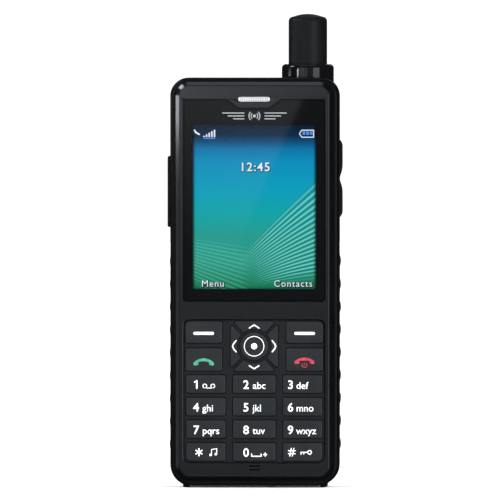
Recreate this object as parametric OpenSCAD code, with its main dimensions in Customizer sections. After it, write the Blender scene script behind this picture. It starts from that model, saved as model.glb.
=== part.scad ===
// Handheld satellite phone with a pull-out antenna.
// X runs across the face, the face looks along -Y and +Z is up.
// The origin is the middle of the box's bottom, where the feet stand.

/* [Body] */
// Width of the two housings
body_w = 54.9; // [54.7:0.1:55.1]
// Height of the housings' top edge above the ground
body_top = 133.7; // [133.5:0.1:133.9]
// Depth from the face plate to the battery door
body_d = 27; // [27:0.1:27.4]
// Radius of the upper corners
corner_high = 6; // [5.5:0.25:6.25]
// Radius of the lower corners
corner_low = 7; // [6:0.25:7.5]
// Height of the feet below the housings
foot_drop = 0.5; // [0.3:0.1:0.8]
// Wall of the rear housing
rear_wall = 1.8; // [1.7:0.1:1.9]
// Wall of the front frame
frame_wall = 1.6; // [1.5:0.1:1.7]

/* [Face] */
// Width of the face plate
face_w = 51.5; // [51.2:0.1:51.8]
// Lower edge of the face plate
face_z0 = 2.4; // [2.3:0.1:2.6]
// Upper edge of the face plate
face_z1 = 132.4; // [132.2:0.1:132.5]
// Corner radius of the face plate
face_r = 4.7; // [4:0.1:5]
// Width of the bevel around the face plate
bevel_w = 1.1; // [0.6:0.1:1.2]
// Depth of that bevel
bevel_d = 0.8; // [0.4:0.1:1]

/* [Display] */
// Width of the lens
lens_w = 46.4; // [46:0.1:46.6]
// Lower edge of the lens
lens_z0 = 60.7; // [60.5:0.1:61]
// Upper edge of the lens
lens_z1 = 126.6; // [126.4:0.1:126.8]
// Depth of the notch below the earpiece
notch_h = 2.9; // [2.5:0.1:3.1]
// Width of the lit area
screen_w = 40.1; // [39:0.1:41]
// Height of the lit area
screen_h = 53.6; // [52:0.1:54]
// Height of the lit area's middle
screen_z = 91.4; // [91:0.1:92]

/* [Keys] */
// Lower edge of the keypad opening
pad_z0 = 8.05; // [7.9:0.05:8.1]
// Upper edge of the keypad opening
pad_z1 = 54.8; // [54.6:0.1:55]
// Width of the keypad opening
pad_w = 46; // [46:0.1:46.2]
// Travel of every key
key_travel = 0.4; // [0.2:0.05:0.4]
// Width of the outer number keys
digit_w = 13; // [12.4:0.1:13.2]
// Width of the middle number keys
digit_mid_w = 14.1; // [13.6:0.1:14.3]
// Height of a number key
digit_h = 6; // [5.6:0.1:6.1]
// Distance from one row of number keys to the next
digit_pitch = 7.37; // [7.3:0.01:7.4]
// Radius of the select key
select_r = 4.65; // [4.2:0.05:4.7]

/* [Antenna] */
// Distance of the antenna's axis from the middle
antenna_x = 17.0; // [17:0.1:17.3]
// Radius of the antenna tube
antenna_r = 6.3; // [6:0.1:6.3]
// Height of the pulled-out antenna's tip
antenna_top = 154.5; // [152:0.5:156]
// Radius of the collar
collar_r = 8.5; // [8.4:0.05:8.5]
// Height of the collar's upper edge
collar_top = 138.1; // [137.5:0.1:139]

/* [Sides] */
// Distance from the middle to the port cover's and the rocker's outer face
side_x = 28.5; // [28.4:0.1:28.8]
// Lower edge of the port cover
cover_z0 = 84.9; // [84.8:0.1:85.2]
// Upper edge of the port cover
cover_z1 = 108.1; // [108:0.1:108.4]
// Lower end of the volume rocker
rocker_z0 = 87.7; // [87.5:0.1:88]
// Upper end of the volume rocker
rocker_z1 = 113.8; // [113.5:0.1:114]
// Number of ribs on each side grip
grip_ribs = 9; // [5:1:9]

/* [Battery] */
// Width of the battery pack
battery_w = 38; // [36:0.5:38]
// Height of the battery pack
battery_h = 65.2; // [64:0.2:65.2]
// Width of the battery door
door_w = 41; // [40.5:0.1:41.2]
// Radius of a housing screw's shank
screw_r = 1; // [0.9:0.05:1]

/* [Hidden] */
$fn = 48;
eps = 0.05; // how far a cut runs past a face
gap = 0.1; // clearance between parts that meet side by side
run = 0.05; // radial clearance of a pivot in its bore

// Levels from the front to the back
front_y = -body_d / 2;
back_y = body_d / 2;
plate_y = front_y + 1.5; // back of the face plate, front of the frame's front wall
rim_y = front_y + 1.2; // front of the rim around the face plate
wall_y = plate_y + 1.2; // back of the frame's front wall
recess_y = plate_y + 0.5; // floor of the recess that holds the keypad mat's rim
dome_y = -9; // front of the dome board
board_y = -5.4; // front of the main board
board_t = 1;
parting_y = -2; // where the two housings meet
shell_y = back_y - 0.2; // back of the rear housing
round_y = 5; // where the rear housing's sides start to round
inner_y = shell_y - rear_wall;
ledge_y = back_y - 1.8; // ledge under the battery door
bay_y = -0.2; // floor of the battery bay

body_z0 = foot_drop;
body_x = body_w / 2;
face_x = face_w / 2;
back_inset = 5; // how far the rounded back draws in
round_steps = 9;

lens_r = 1;
notch_low = 4.9; // half width of the notch's lower edge
notch_high = 8.9; // half width of the notch's upper edge
earpiece_w = 10.8;
earpiece_h = 1.9;
earpiece_z = 126.7;
mic_x = 0.2;
mic_z = 6.45;
slit_w = 4;
slit_h = 0.6;
slit_pitch = 1.3;

cap_y = front_y + 0.45; // front of the key caps
flange_y = recess_y + gap; // front of the key flanges
flange_t = 0.5;
flange_grow = 0.3;
plunger_y = dome_y - 0.75;
plunger_r = 1.1;
dome_r = 2;
dome_rise = 0.3;
mat_y = front_y + 0.5; // front of the keypad mat
mat_gap = 0.15;
pad_window_r = 0.9; // corners of the window behind the keypad mat

soft_x = 16.45;
soft_w = 12.1;
soft_z0 = 47.1;
soft_z1 = 54.3;
call_z0 = 38;
call_z1 = 45.5;
nav_z = 46.1;
nav_x = 7.8; // half width of the navigation block
nav_h = 8.25; // half height of the navigation block
nav_web = 0.9;
nav_inner_r = select_r + 0.9;
nav_plunger = 6.8; // distance of the navigation keys' plungers from the middle
digit_x = 15.8;
digit_z0 = 8.65;
key_corner = 0.6;

battery_z0 = 15;
bay_z0 = battery_z0 - 0.4;
bay_z1 = 81.4;
bay_x = battery_w / 2 + 0.4;
bay_wall = 1.6;
battery_y1 = 11.3;
door_z0 = 8;
door_z1 = 84;
door_r = 3;

collar_z0 = 130.5;
antenna_y = 3.5;
antenna_z0 = 126;
tube_wall = 1.3;
dome_h = 2.4; // height of the antenna's domed end
guide_z0 = 109.5;
guide_r = 7.2;
guide_bore = antenna_r + 0.08;

hinge_x = -side_x + 0.9; // axis of the port cover
hinge_y = 3;
hinge_r = 0.9;
hinge_pin_r = 0.45;
ear_h = 2;
cover_y0 = -7.2;
cover_inner_x = -side_x + 1.75;
usb_z = 90.5;
usb_y0 = -4.4;
usb_y1 = -1.8;
usb_h = 7.4;
jack_z = 102;
jack_y = -1.8;
jack_r = 1.8;
jack_nose_r = 2.3;
jack_x0 = -26.6;
jack_x1 = -14;

rocker_y0 = -5;
rocker_y1 = 1;
rocker_x = 24.6; // the rocker's pivot
rocker_z = (rocker_z0 + rocker_z1) / 2;
rocker_pin_r = 0.9;
rocker_arm = 7; // from the pivot to each switch
ear_t = 1.8;

grip_z0 = 9;
grip_z1 = 79;
grip_y0 = -7;
grip_y1 = 6;
grip_t = 0.8;
rib_pitch = 7.45;
rib_w = 3;
rib_t = 0.35;

foot_x = 22.4;
foot_w = 2;
foot_y = 9;
foot_z1 = 1.8;

// Housing screws, as [x, z]
screws = [[-24, 11], [24, 11], [-24, 60], [24, 60], [-22.5, 125.5], [7.9, 125.6]];
screw_head_r = 1.9;
screw_seat_y = 9.2;
screw_head_t = 1.2;
boss_r = 1.8;
door_screws_x = [-15.5, 15.5];
door_screw_z = 11.2;

speaker_x0 = -20;
speaker_x1 = -2;
speaker_z0 = 92;
speaker_z1 = 112;
speaker_t = 3;
motor_y = -2;
motor_z = 117.5;
motor_r = 2;
motor_x0 = -20;
motor_x1 = -12;
shaft_r = 0.4;

sim_w = 25;
sim_h = 15;
sim_t = 0.76;
sim_y = -3.6;
sim_z0 = 61.5;

//                      Building blocks

// An outline in the XZ plane, carried from y0 back to y1
module upright(y0, y1) {
    translate([0, y1, 0]) rotate([90, 0, 0]) linear_extrude(y1 - y0) children();
}

module block(x, y, z) {
    translate([x[0], y[0], z[0]]) cube([x[1] - x[0], y[1] - y[0], z[1] - z[0]]);
}

module rod_x(y, z, x0, x1, r) {
    translate([x0, y, z]) rotate([0, 90, 0]) cylinder(h = x1 - x0, r = r);
}

module rod_y(x, z, y0, y1, r) {
    translate([x, y1, z]) rotate([90, 0, 0]) cylinder(h = y1 - y0, r = r);
}

module rod_z(x, y, z0, z1, r) {
    translate([x, y, z0]) cylinder(h = z1 - z0, r = r);
}

// A rectangle of half width w with round corners, r0 below and r1 above
module rounded(w, z0, z1, r0, r1) {
    translate([-w, z0 + r0]) square([2 * w, z1 - z0 - r0 - r1]);
    translate([r0 - w, z0]) square([2 * (w - r0), r0]);
    translate([r1 - w, z1 - r1]) square([2 * (w - r1), r1]);
    for (side = [-1, 1]) {
        translate([side * (w - r0), z0 + r0]) circle(r0);
        translate([side * (w - r1), z1 - r1]) circle(r1);
    }
}

// The housings' outline, drawn in by an inset
module body_outline(inset = 0) {
    rounded(body_x - inset, body_z0 + inset, body_top - inset,
        corner_low - inset, corner_high - inset);
}

module face_outline(inset = 0) {
    rounded(face_x - inset, face_z0 + inset, face_z1 - inset, face_r - inset, face_r - inset);
}

module lens_outline(inset = 0) {
    difference() {
        rounded(lens_w / 2 - inset, lens_z0 + inset, lens_z1 - inset, lens_r, lens_r);
        polygon([
            [-notch_low - inset, lens_z1 - notch_h - inset],
            [notch_low + inset, lens_z1 - notch_h - inset],
            [notch_high + inset, lens_z1 - inset],
            [notch_high + inset, lens_z1 + 1],
            [-notch_high - inset, lens_z1 + 1],
            [-notch_high - inset, lens_z1 - inset]
        ]);
    }
}

module pad_outline(inset = 0) {
    rounded(pad_w / 2 - inset, pad_z0 + inset, pad_z1 - inset, 2, 1.5);
}

// The rounded back: sides straight up to round_y, then drawn in along a quarter ellipse
module rounded_back(inset, y1, draw) {
    hull() {
        upright(parting_y - inset * eps, round_y) body_outline(inset);
        for (i = [1 : round_steps]) {
            angle = 90 * i / round_steps;
            y = round_y + (y1 - round_y) * sin(angle);
            upright(y - eps, y) body_outline(inset + draw * (1 - cos(angle)));
        }
    }
}

//                      Keys

// Height of a number key's row, counted from the lowest
function row_z(row) = digit_z0 + row * digit_pitch;

function column_w(column) = column == 0 ? digit_mid_w : digit_w;

module digit_outline(column, row, grow = 0) {
    w = column_w(column) / 2 + grow;
    translate([column * digit_x, 0])
        rounded(w, row_z(row) - grow, row_z(row) + digit_h + grow, key_corner, key_corner);
}

module wide_outline(side, z0, z1, grow = 0) {
    translate([side * soft_x, 0])
        rounded(soft_w / 2 + grow, z0 - grow, z1 + grow, key_corner, key_corner);
}

module select_outline(grow = 0) {
    translate([0, nav_z]) circle(select_r + grow);
}

// One of the four tapered keys: a wedge between two diagonal webs, less the select key's ring
module wedge(half_w, half_h, grow) {
    slope = half_h / half_w;
    apex = (nav_web / 2 - grow) * sqrt(1 + slope * slope);
    top = half_h + grow;
    top_x = (top - apex) / slope;
    difference() {
        polygon([[0, apex], [top_x, top], [-top_x, top]]);
        circle(nav_inner_r - grow);
    }
}

module nav_outline(turn, grow = 0) {
    upright_key = turn % 180 == 0;
    translate([0, nav_z]) rotate(turn)
        wedge(upright_key ? nav_x : nav_h, upright_key ? nav_h : nav_x, grow);
}

// Cap, flange and plunger of a key: the first child is the cap, the second the flange
module key_shape(x, z) {
    upright(cap_y, flange_y + flange_t) children(0);
    upright(flange_y, flange_y + flange_t) children(1);
    rod_y(x, z, flange_y, plunger_y, plunger_r);
}

module digit_key(column, row) {
    color([0.2, 0.19, 0.21]) key_shape(column * digit_x, row_z(row) + digit_h / 2) {
        digit_outline(column, row);
        digit_outline(column, row, flange_grow);
    }
}

module wide_key(side, z0, z1) {
    color([0.2, 0.19, 0.21]) key_shape(side * soft_x, (z0 + z1) / 2) {
        wide_outline(side, z0, z1);
        wide_outline(side, z0, z1, flange_grow);
    }
}

module nav_key(turn) {
    color([0.16, 0.16, 0.18])
        key_shape(-nav_plunger * sin(turn), nav_z + nav_plunger * cos(turn)) {
            nav_outline(turn);
            nav_outline(turn, flange_grow);
        }
}

module select_key() {
    color([0.2, 0.2, 0.22]) key_shape(0, nav_z) {
        select_outline();
        select_outline(flange_grow);
    }
}

// The outlines of all keys, grown by a clearance
module all_keys(grow) {
    for (column = [-1 : 1])
        for (row = [0 : 3])
            digit_outline(column, row, grow);
    for (side = [-1, 1]) {
        wide_outline(side, soft_z0, soft_z1, grow);
        wide_outline(side, call_z0, call_z1, grow);
    }
    for (turn = [0, 90, 180, 270])
        nav_outline(turn, grow);
    select_outline(grow);
}

// Where each key presses, as [x, z]
press_points = [
    for (column = [-1 : 1]) for (row = [0 : 3]) [column * digit_x, row_z(row) + digit_h / 2],
    for (side = [-1, 1]) for (z = [soft_z0 + soft_z1, call_z0 + call_z1]) [side * soft_x, z / 2],
    for (turn = [0 : 90 : 270]) [nav_plunger * sin(turn), nav_z + nav_plunger * cos(turn)],
    [0, nav_z]
];

//                      Cuts that both housings share

module collar_seat() {
    rod_z(antenna_x, antenna_y, collar_z0, body_top + 5, collar_r + run);
    rod_z(antenna_x, antenna_y, guide_z0 - gap, collar_z0 + gap, guide_r + run);
}

module cover_recess() {
    block([-body_x - 2, cover_inner_x + run], [cover_y0 - gap, hinge_y],
        [cover_z0 - gap, cover_z1 + gap]);
    rod_z(hinge_x, hinge_y, cover_z0 - gap, cover_z1 + gap, hinge_r + 3 * run);
}

module port_holes() {
    block([-body_x, -body_x + 3], [usb_y0 - gap, usb_y1 + gap],
        [usb_z - usb_h / 2 - gap, usb_z + usb_h / 2 + gap]);
    rod_x(jack_y, jack_z, -body_x, -body_x + 3, jack_nose_r + gap);
}

module rocker_slot() {
    block([body_x - 3, body_x + 1], [rocker_y0 - gap, rocker_y1 + gap],
        [rocker_z0 - 3 * gap, rocker_z1 + 3 * gap]);
}

module grip_recesses() {
    for (side = [-1, 1])
        translate([side * (body_x - grip_t + 5), (grip_y0 + grip_y1) / 2, (grip_z0 + grip_z1) / 2])
            cube([10, grip_y1 - grip_y0 + gap, grip_z1 - grip_z0 + gap], center = true);
}

module foot_shape(side, grow = 0) {
    x = side * foot_x;
    block([x - foot_w / 2 - grow, x + foot_w / 2 + grow], [-foot_y - grow, foot_y + grow],
        [0, foot_z1 + grow]);
}

module shared_cuts() {
    collar_seat();
    cover_recess();
    port_holes();
    rocker_slot();
    grip_recesses();
    for (side = [-1, 1])
        foot_shape(side, run);
}

module rocker_ear(y0) {
    difference() {
        block([rocker_x - 1.6, body_x - frame_wall + 0.4], [y0, y0 + ear_t],
            [rocker_z - 2, rocker_z + 2]);
        rod_y(rocker_x, rocker_z, y0 - eps, y0 + ear_t + eps, rocker_pin_r + run);
    }
}

//                      Front half

// Cross ribs behind the front wall, which carry the dome board and the main board
module frame_ribs() {
    rib_x = 21;
    for (z = [[6.5, 8.2], [55.4, 57]])
        block([-rib_x, rib_x], [wall_y - eps, dome_y], z);
    block([-rib_x, rib_x], [wall_y - eps, board_y], [57.3, 60.5]);
    for (x = [[-20, -4], [4, 20]])
        block(x, [wall_y - eps, board_y], [frame_wall, 6]);
}

module front_frame() {
    color([0.2, 0.21, 0.22]) {
        difference() {
            union() {
                difference() {
                    upright(rim_y, parting_y) body_outline();
                    upright(wall_y, parting_y + eps) body_outline(frame_wall);
                    upright(rim_y - eps, plate_y) face_outline(-gap);
                }
                frame_ribs();
                for (at = screws)
                    rod_y(at[0], at[1], wall_y - eps, parting_y, boss_r);
            }
            // Windows for the display and the keys
            block([-screen_w / 2 - 0.7, screen_w / 2 + 0.7], [plate_y - eps, wall_y + eps],
                [screen_z - screen_h / 2 - 0.8, screen_z + screen_h / 2 + 0.8]);
            upright(plate_y - eps, recess_y) pad_outline(-1);
            upright(plate_y - eps, dome_y)
                rounded(pad_w / 2, pad_z0, pad_z1, pad_window_r, pad_window_r);
            // Sound holes
            block([-earpiece_w / 2 + 0.6, earpiece_w / 2 - 0.6], [plate_y - eps, wall_y + eps],
                [earpiece_z - 0.6, earpiece_z + 0.6]);
            rod_y(mic_x, mic_z - slit_pitch / 2, plate_y - eps, wall_y + eps, 0.5);
            // Groove for the seal
            upright(parting_y - 0.65, parting_y + eps) difference() {
                body_outline(0.45);
                body_outline(1.15);
            }
            for (at = screws)
                rod_y(at[0], at[1], wall_y + 0.4, parting_y + eps, screw_r + run);
            shared_cuts();
        }
        rocker_ear(rocker_y0 - ear_t - gap);
    }
}

module face_plate() {
    color([0.18, 0.18, 0.2]) difference() {
        hull() {
            upright(front_y + bevel_d, plate_y) face_outline($fn = 64);
            upright(front_y, front_y + bevel_d) face_outline(bevel_w, $fn = 64);
        }
        upright(front_y - eps, plate_y + eps) lens_outline(-gap);
        upright(front_y - eps, plate_y + eps) pad_outline();
        upright(front_y - eps, plate_y + eps) earpiece_outline(run);
        for (side = [-1, 1])
            upright(front_y - eps, plate_y + eps) translate([mic_x, mic_z + side * slit_pitch / 2])
                square([slit_w, slit_h], center = true);
    }
}

module earpiece_outline(grow = 0) {
    r = earpiece_h / 2 + grow;
    translate([0, earpiece_z]) {
        square([earpiece_w - earpiece_h, 2 * r], center = true);
        for (side = [-1, 1])
            translate([side * (earpiece_w - earpiece_h) / 2, 0]) circle(r);
    }
}

module lens() {
    color([0.12, 0.13, 0.14]) upright(front_y + 0.3, plate_y) lens_outline();
}

module lcd_panel() {
    panel_w = 44;
    panel_h = 61;
    color([0.12, 0.5, 0.58]) translate([0, (wall_y + board_y) / 2 - 1.6, screen_z])
        cube([panel_w, 2.2, panel_h], center = true);
}

module lcd_frame() {
    leg_x = 21.6;
    leg_t = 0.8;
    tray_y = (wall_y + board_y) / 2 - 0.5;
    tray = [[-leg_x, leg_x], [64, 118]];
    color([0.75, 0.76, 0.78]) difference() {
        block(tray[0], [tray_y, board_y], tray[1]);
        block([-leg_x + leg_t, leg_x - leg_t], [tray_y + leg_t, board_y + eps], [60, 122]);
    }
}

module earpiece_grille() {
    hole_r = 0.25;
    hole_pitch = 0.8;
    holes_across = 11;
    color([0.85, 0.86, 0.88]) difference() {
        upright(front_y + 0.15, plate_y) earpiece_outline();
        for (i = [0 : holes_across - 1])
            for (row = [-1, 1])
                rod_y((i - (holes_across - 1) / 2) * hole_pitch, earpiece_z + row * hole_pitch / 2,
                    front_y, plate_y + eps, hole_r);
    }
}

module earpiece_receiver() {
    color([0.3, 0.3, 0.32]) block([-6, 6], [wall_y, wall_y + 2.4], [124.4, 129.4]);
}

module microphone() {
    color([0.7, 0.7, 0.72]) block([mic_x - 2, mic_x + 2], [wall_y, wall_y + 1.4], [3, 6.3]);
}

module keypad_mat() {
    color([0.09, 0.09, 0.1]) difference() {
        union() {
            upright(mat_y, plate_y) pad_outline(gap);
            upright(plate_y, recess_y) pad_outline(-0.9);
        }
        upright(mat_y - eps, recess_y + eps) all_keys(mat_gap);
    }
}

module dome_board() {
    color([0.1, 0.35, 0.2]) block([-21.8, 21.8], [dome_y, dome_y + 0.8], [6.5, 57]);
}

// Each dome is a low disc with a smaller one on it
module key_domes() {
    color([0.8, 0.8, 0.82]) for (at = press_points) {
        rod_y(at[0], at[1], dome_y - dome_rise / 2, dome_y, dome_r);
        rod_y(at[0], at[1], dome_y - dome_rise, dome_y, dome_r * 0.6);
    }
}

module main_board() {
    board_x = 21.8;
    color([0.1, 0.35, 0.2]) difference() {
        union() {
            block([-board_x, board_x], [board_y, board_y + board_t], [3, 130]);
            block([-25.2, -board_x], [board_y, board_y + board_t], [cover_z0, cover_z1]);
        }
        for (i = [4, 5])
            rod_y(screws[i][0], screws[i][1], board_y - eps, board_y + board_t + eps, boss_r + gap);
    }
}

module shield_cans() {
    can_x = 18;
    can_t = 0.3;
    color([0.75, 0.76, 0.78]) for (z = [[64, 86], [92, 116]])
        difference() {
            block([-can_x, can_x], [board_y - 1.6, board_y], z);
            block([-can_x + can_t, can_x - can_t], [board_y - 1.6 + can_t, board_y + eps],
                [z[0] + can_t, z[1] - can_t]);
        }
}

//                      Rear half

// Everything that stands inside the rear housing's cavity
module rear_structures() {
    block([-bay_x - bay_wall, bay_x + bay_wall], [parting_y, inner_y + 1],
        [bay_z0 - bay_wall, bay_z1 + 2]);
    block([-22.3, 22.3], [ledge_y - 1.8, inner_y + 1], [door_z0 - 1.8, door_z1 + 1.8]);
    for (x = door_screws_x)
        rod_y(x, door_screw_z, 4, inner_y + 1, 2.4);
    for (at = screws) {
        rod_y(at[0], at[1], parting_y, inner_y + 1, boss_r);
        rod_y(at[0], at[1], screw_seat_y - 1.6, inner_y + 1, screw_head_r + 1.2);
    }
    block([speaker_x0 - 1.2, speaker_x1 + 1.2], [inner_y - speaker_t + 0.4, inner_y + 1],
        [speaker_z0 - 1.2, speaker_z1 + 1.2]);
    block([rocker_x - 1.6, body_x], [rocker_y1 + gap, rocker_y1 + gap + ear_t],
        [rocker_z - 2, rocker_z + 2]);
}

module rear_cuts() {
    block([-bay_x, bay_x], [bay_y, back_y], [bay_z0, bay_z1]);
    upright(ledge_y, back_y + 1)
        rounded(door_w / 2 + 0.2, door_z0 - 0.2, door_z1 + 0.2, door_r, door_r);
    // Window over the SIM card
    block([-sim_w / 2 - 0.9, sim_w / 2 + 0.9], [parting_y - eps, bay_y + eps], [44, 77]);
    // Pocket for the battery contacts
    block([-6 - gap, 6 + gap], [bay_y, 6 + gap], [bay_z1 - eps, bay_z1 + 1.4]);
    for (at = screws) {
        rod_y(at[0], at[1], parting_y - 1, screw_seat_y + 1, screw_r + run);
        rod_y(at[0], at[1], screw_seat_y, back_y + 1, screw_head_r + gap);
    }
    for (x = door_screws_x)
        rod_y(x, door_screw_z, 5, ledge_y + eps, screw_r + run);
    // Loudspeaker and its slots
    block([speaker_x0 - gap, speaker_x1 + gap], [inner_y - speaker_t - 1, inner_y],
        [speaker_z0 - gap, speaker_z1 + gap]);
    for (i = [-2 : 2])
        block([speaker_x0 + 3, speaker_x1 - 3], [inner_y - eps, shell_y + 1],
            [(speaker_z0 + speaker_z1) / 2 + 2.6 * i - 0.6, (speaker_z0 + speaker_z1) / 2 + 2.6 * i + 0.6]);
    rod_y(rocker_x, rocker_z, rocker_y1, rocker_y1 + 2 * ear_t, rocker_pin_r + run);
    shared_cuts();
}

// The ears that carry the port cover's pins
module cover_ears() {
    for (z = [cover_z0, cover_z1 - ear_h])
        difference() {
            union() {
                rod_z(hinge_x, hinge_y, z, z + ear_h, hinge_r);
                block([hinge_x, -body_x + 1.6], [hinge_y - hinge_r, hinge_y + hinge_r],
                    [z, z + ear_h]);
            }
            rod_z(hinge_x, hinge_y, z - eps, z + ear_h + eps, hinge_pin_r + run);
        }
}

module rear_housing() {
    color([0.15, 0.16, 0.18]) {
        difference() {
            rounded_back(0, shell_y, back_inset);
            difference() {
                rounded_back(rear_wall, inner_y, back_inset - 1);
                rear_structures();
            }
            rear_cuts();
        }
        cover_ears();
        // Pads that hold the main board against the front frame
        for (x = [-20.9, 19.4])
            for (z = [20, 70])
                block([x, x + 1.5], [board_y + board_t, parting_y + eps], [z, z + 4]);
    }
}

module housing_seal() {
    color([0.3, 0.3, 0.32]) difference() {
        upright(parting_y - 0.6, parting_y) difference() {
            body_outline(0.5);
            body_outline(1.1);
        }
        shared_cuts();
    }
}

module side_grip(side) {
    mid_z = (grip_z0 + grip_z1) / 2;
    color([0.13, 0.13, 0.14]) mirror([side > 0 ? 0 : 1, 0, 0]) {
        block([body_x - grip_t, body_x], [grip_y0, grip_y1], [grip_z0, grip_z1]);
        for (i = [0 : grip_ribs - 1]) {
            z = mid_z + (i - (grip_ribs - 1) / 2) * rib_pitch;
            block([body_x - eps, body_x + rib_t], [grip_y0, grip_y1], [z - rib_w / 2, z + rib_w / 2]);
        }
    }
}

module base_feet() {
    color([0.1, 0.1, 0.11]) for (side = [-1, 1])
        foot_shape(side);
}

module housing_screws() {
    color([0.6, 0.6, 0.62]) for (at = screws)
        difference() {
            union() {
                rod_y(at[0], at[1], wall_y + 1, screw_seat_y + eps, screw_r);
                rod_y(at[0], at[1], screw_seat_y, screw_seat_y + screw_head_t, screw_head_r);
            }
            rod_y(at[0], at[1], screw_seat_y + screw_head_t - 0.7, back_y, 0.9, $fn = 6);
        }
}

//                      Antenna

module antenna_collar() {
    edge = 1.6; // rounding of the collar's upper edge
    seal_z = 134;
    profile = concat(
        [[guide_bore, collar_z0], [collar_r, collar_z0]],
        [for (a = [0 : 15 : 90]) [collar_r - edge + edge * cos(a), collar_top - edge + edge * sin(a)]],
        [[guide_bore, collar_top]]
    );
    color([0.16, 0.16, 0.17]) translate([antenna_x, antenna_y, 0]) difference() {
        rotate_extrude() polygon(profile);
        rotate_extrude() translate([guide_bore - 1, seal_z - 1]) square([2.2, 2]);
    }
}

module antenna_seal() {
    color([0.25, 0.25, 0.26]) translate([antenna_x, antenna_y, 133.1])
        difference() {
            cylinder(h = 1.8, r = guide_bore + 1.1);
            translate([0, 0, -eps]) cylinder(h = 2, r = guide_bore);
        }
}

module antenna_guide() {
    color([0.8, 0.8, 0.78]) difference() {
        rod_z(antenna_x, antenna_y, guide_z0, collar_z0, guide_r);
        rod_z(antenna_x, antenna_y, guide_z0 + 1.5, collar_z0 + eps, guide_bore);
        block([antenna_x - 1.2, antenna_x + 1.2], [-5, -2], [126.3, 129.7]);
    }
}

module antenna_contact() {
    color([0.85, 0.7, 0.35])
        block([antenna_x - 1, antenna_x + 1], [board_y + board_t, antenna_y - guide_bore],
            [126.5, 129.5]);
}

module antenna_tube() {
    shoulder = antenna_top - dome_h;
    dome_ball = (antenna_r * antenna_r + dome_h * dome_h) / (2 * dome_h);
    color([0.15, 0.15, 0.16]) translate([antenna_x, antenna_y, 0]) difference() {
        union() {
            translate([0, 0, antenna_z0]) cylinder(h = shoulder - antenna_z0, r = antenna_r);
            intersection() {
                translate([0, 0, antenna_top - dome_ball]) sphere(dome_ball);
                translate([0, 0, shoulder - eps]) cylinder(h = antenna_top, r = antenna_r);
            }
        }
        translate([0, 0, antenna_z0 + tube_wall])
            cylinder(h = shoulder - antenna_z0 - 2 * tube_wall, r = antenna_r - tube_wall);
    }
}

module antenna_core() {
    color([0.9, 0.88, 0.8]) translate([antenna_x, antenna_y, antenna_z0 + tube_wall])
        cylinder(h = antenna_top - dome_h - antenna_z0 - 2 * tube_wall, r = antenna_r - tube_wall - run);
}

//                      Sides

module usb_socket() {
    shell = 0.35;
    depth = 5.5;
    x0 = cover_inner_x + 0.15;
    color([0.75, 0.76, 0.78]) difference() {
        block([x0, x0 + depth], [usb_y0, usb_y1], [usb_z - usb_h / 2, usb_z + usb_h / 2]);
        block([x0 - eps, x0 + depth - 0.8], [usb_y0 + shell, usb_y1 - shell],
            [usb_z - usb_h / 2 + shell, usb_z + usb_h / 2 - shell]);
    }
    color([0.12, 0.12, 0.13])
        block([x0 + 0.6, x0 + depth - 0.8 + eps], [usb_y0 + 0.9, usb_y0 + 1.4],
            [usb_z - 2.6, usb_z + 2.6]);
}

module headset_socket() {
    color([0.12, 0.12, 0.13]) difference() {
        union() {
            block([jack_x0 + 1.6, jack_x1], [board_y + board_t, jack_y + jack_nose_r],
                [jack_z - 3, jack_z + 3]);
            rod_x(jack_y, jack_z, jack_x0, jack_x0 + 2, jack_nose_r);
        }
        rod_x(jack_y, jack_z, jack_x0 - eps, jack_x1 - 1, jack_r);
    }
}

// Both lobes of the rocker in one bar, dipped in the middle, with tapered ends
module rocker_profile() {
    base = body_x - 1.3;
    taper = 2.6;
    dip = 0.9;
    dip_w = 2.4;
    polygon([
        [base, rocker_z0],
        [side_x - 0.9, rocker_z0 + 0.5],
        [side_x, rocker_z0 + taper],
        [side_x, rocker_z - dip_w],
        [side_x - dip, rocker_z],
        [side_x, rocker_z + dip_w],
        [side_x, rocker_z1 - taper],
        [side_x - 0.9, rocker_z1 - 0.5],
        [base, rocker_z1]
    ]);
}

module volume_rocker() {
    base = body_x - 1.3;
    color([0.13, 0.13, 0.14]) {
        upright(rocker_y0, rocker_y1) rocker_profile();
        // Web to the pivot, and the pivot itself
        block([rocker_x, base + eps], [rocker_y0, rocker_y1], [rocker_z - 1, rocker_z + 1]);
        rod_y(rocker_x, rocker_z, rocker_y0 - ear_t, rocker_y1 + ear_t, rocker_pin_r);
        for (side = [-1, 1])
            block([rocker_x - 0.1, base + eps], [-4, -2.4],
                [rocker_z + side * rocker_arm - 0.8, rocker_z + side * rocker_arm + 0.8]);
    }
}

module volume_switches() {
    color([0.75, 0.76, 0.78]) for (side = [-1, 1]) {
        z = rocker_z + side * rocker_arm;
        block([19.4, 22.4], [board_y + board_t, -1.9], [z - 1.4, z + 1.4]);
        rod_x(-3.2, z, 22.4 - eps, rocker_x - 0.6, 0.6);
    }
}

// The cover plate, cut back at its hinge, with a barrel and two pins
module port_cover() {
    barrel_z0 = cover_z0 + ear_h + gap;
    barrel_z1 = cover_z1 - ear_h - gap;
    color([0.12, 0.12, 0.13]) {
        block([-side_x, cover_inner_x], [cover_y0, hinge_y - hinge_r - 3 * run], [cover_z0, cover_z1]);
        block([-side_x, cover_inner_x], [hinge_y - hinge_r - 4 * run, hinge_y],
            [barrel_z0, barrel_z1]);
        rod_z(hinge_x, hinge_y, barrel_z0, barrel_z1, hinge_r);
        rod_z(hinge_x, hinge_y, barrel_z0 - 1, barrel_z1 + 1, hinge_pin_r);
    }
}

//                      Battery, SIM card, sound

module battery_pack() {
    color([0.2, 0.2, 0.22])
        upright(bay_y + gap, battery_y1)
            rounded(battery_w / 2, battery_z0, battery_z0 + battery_h, 1.5, 1.5);
}

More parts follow.
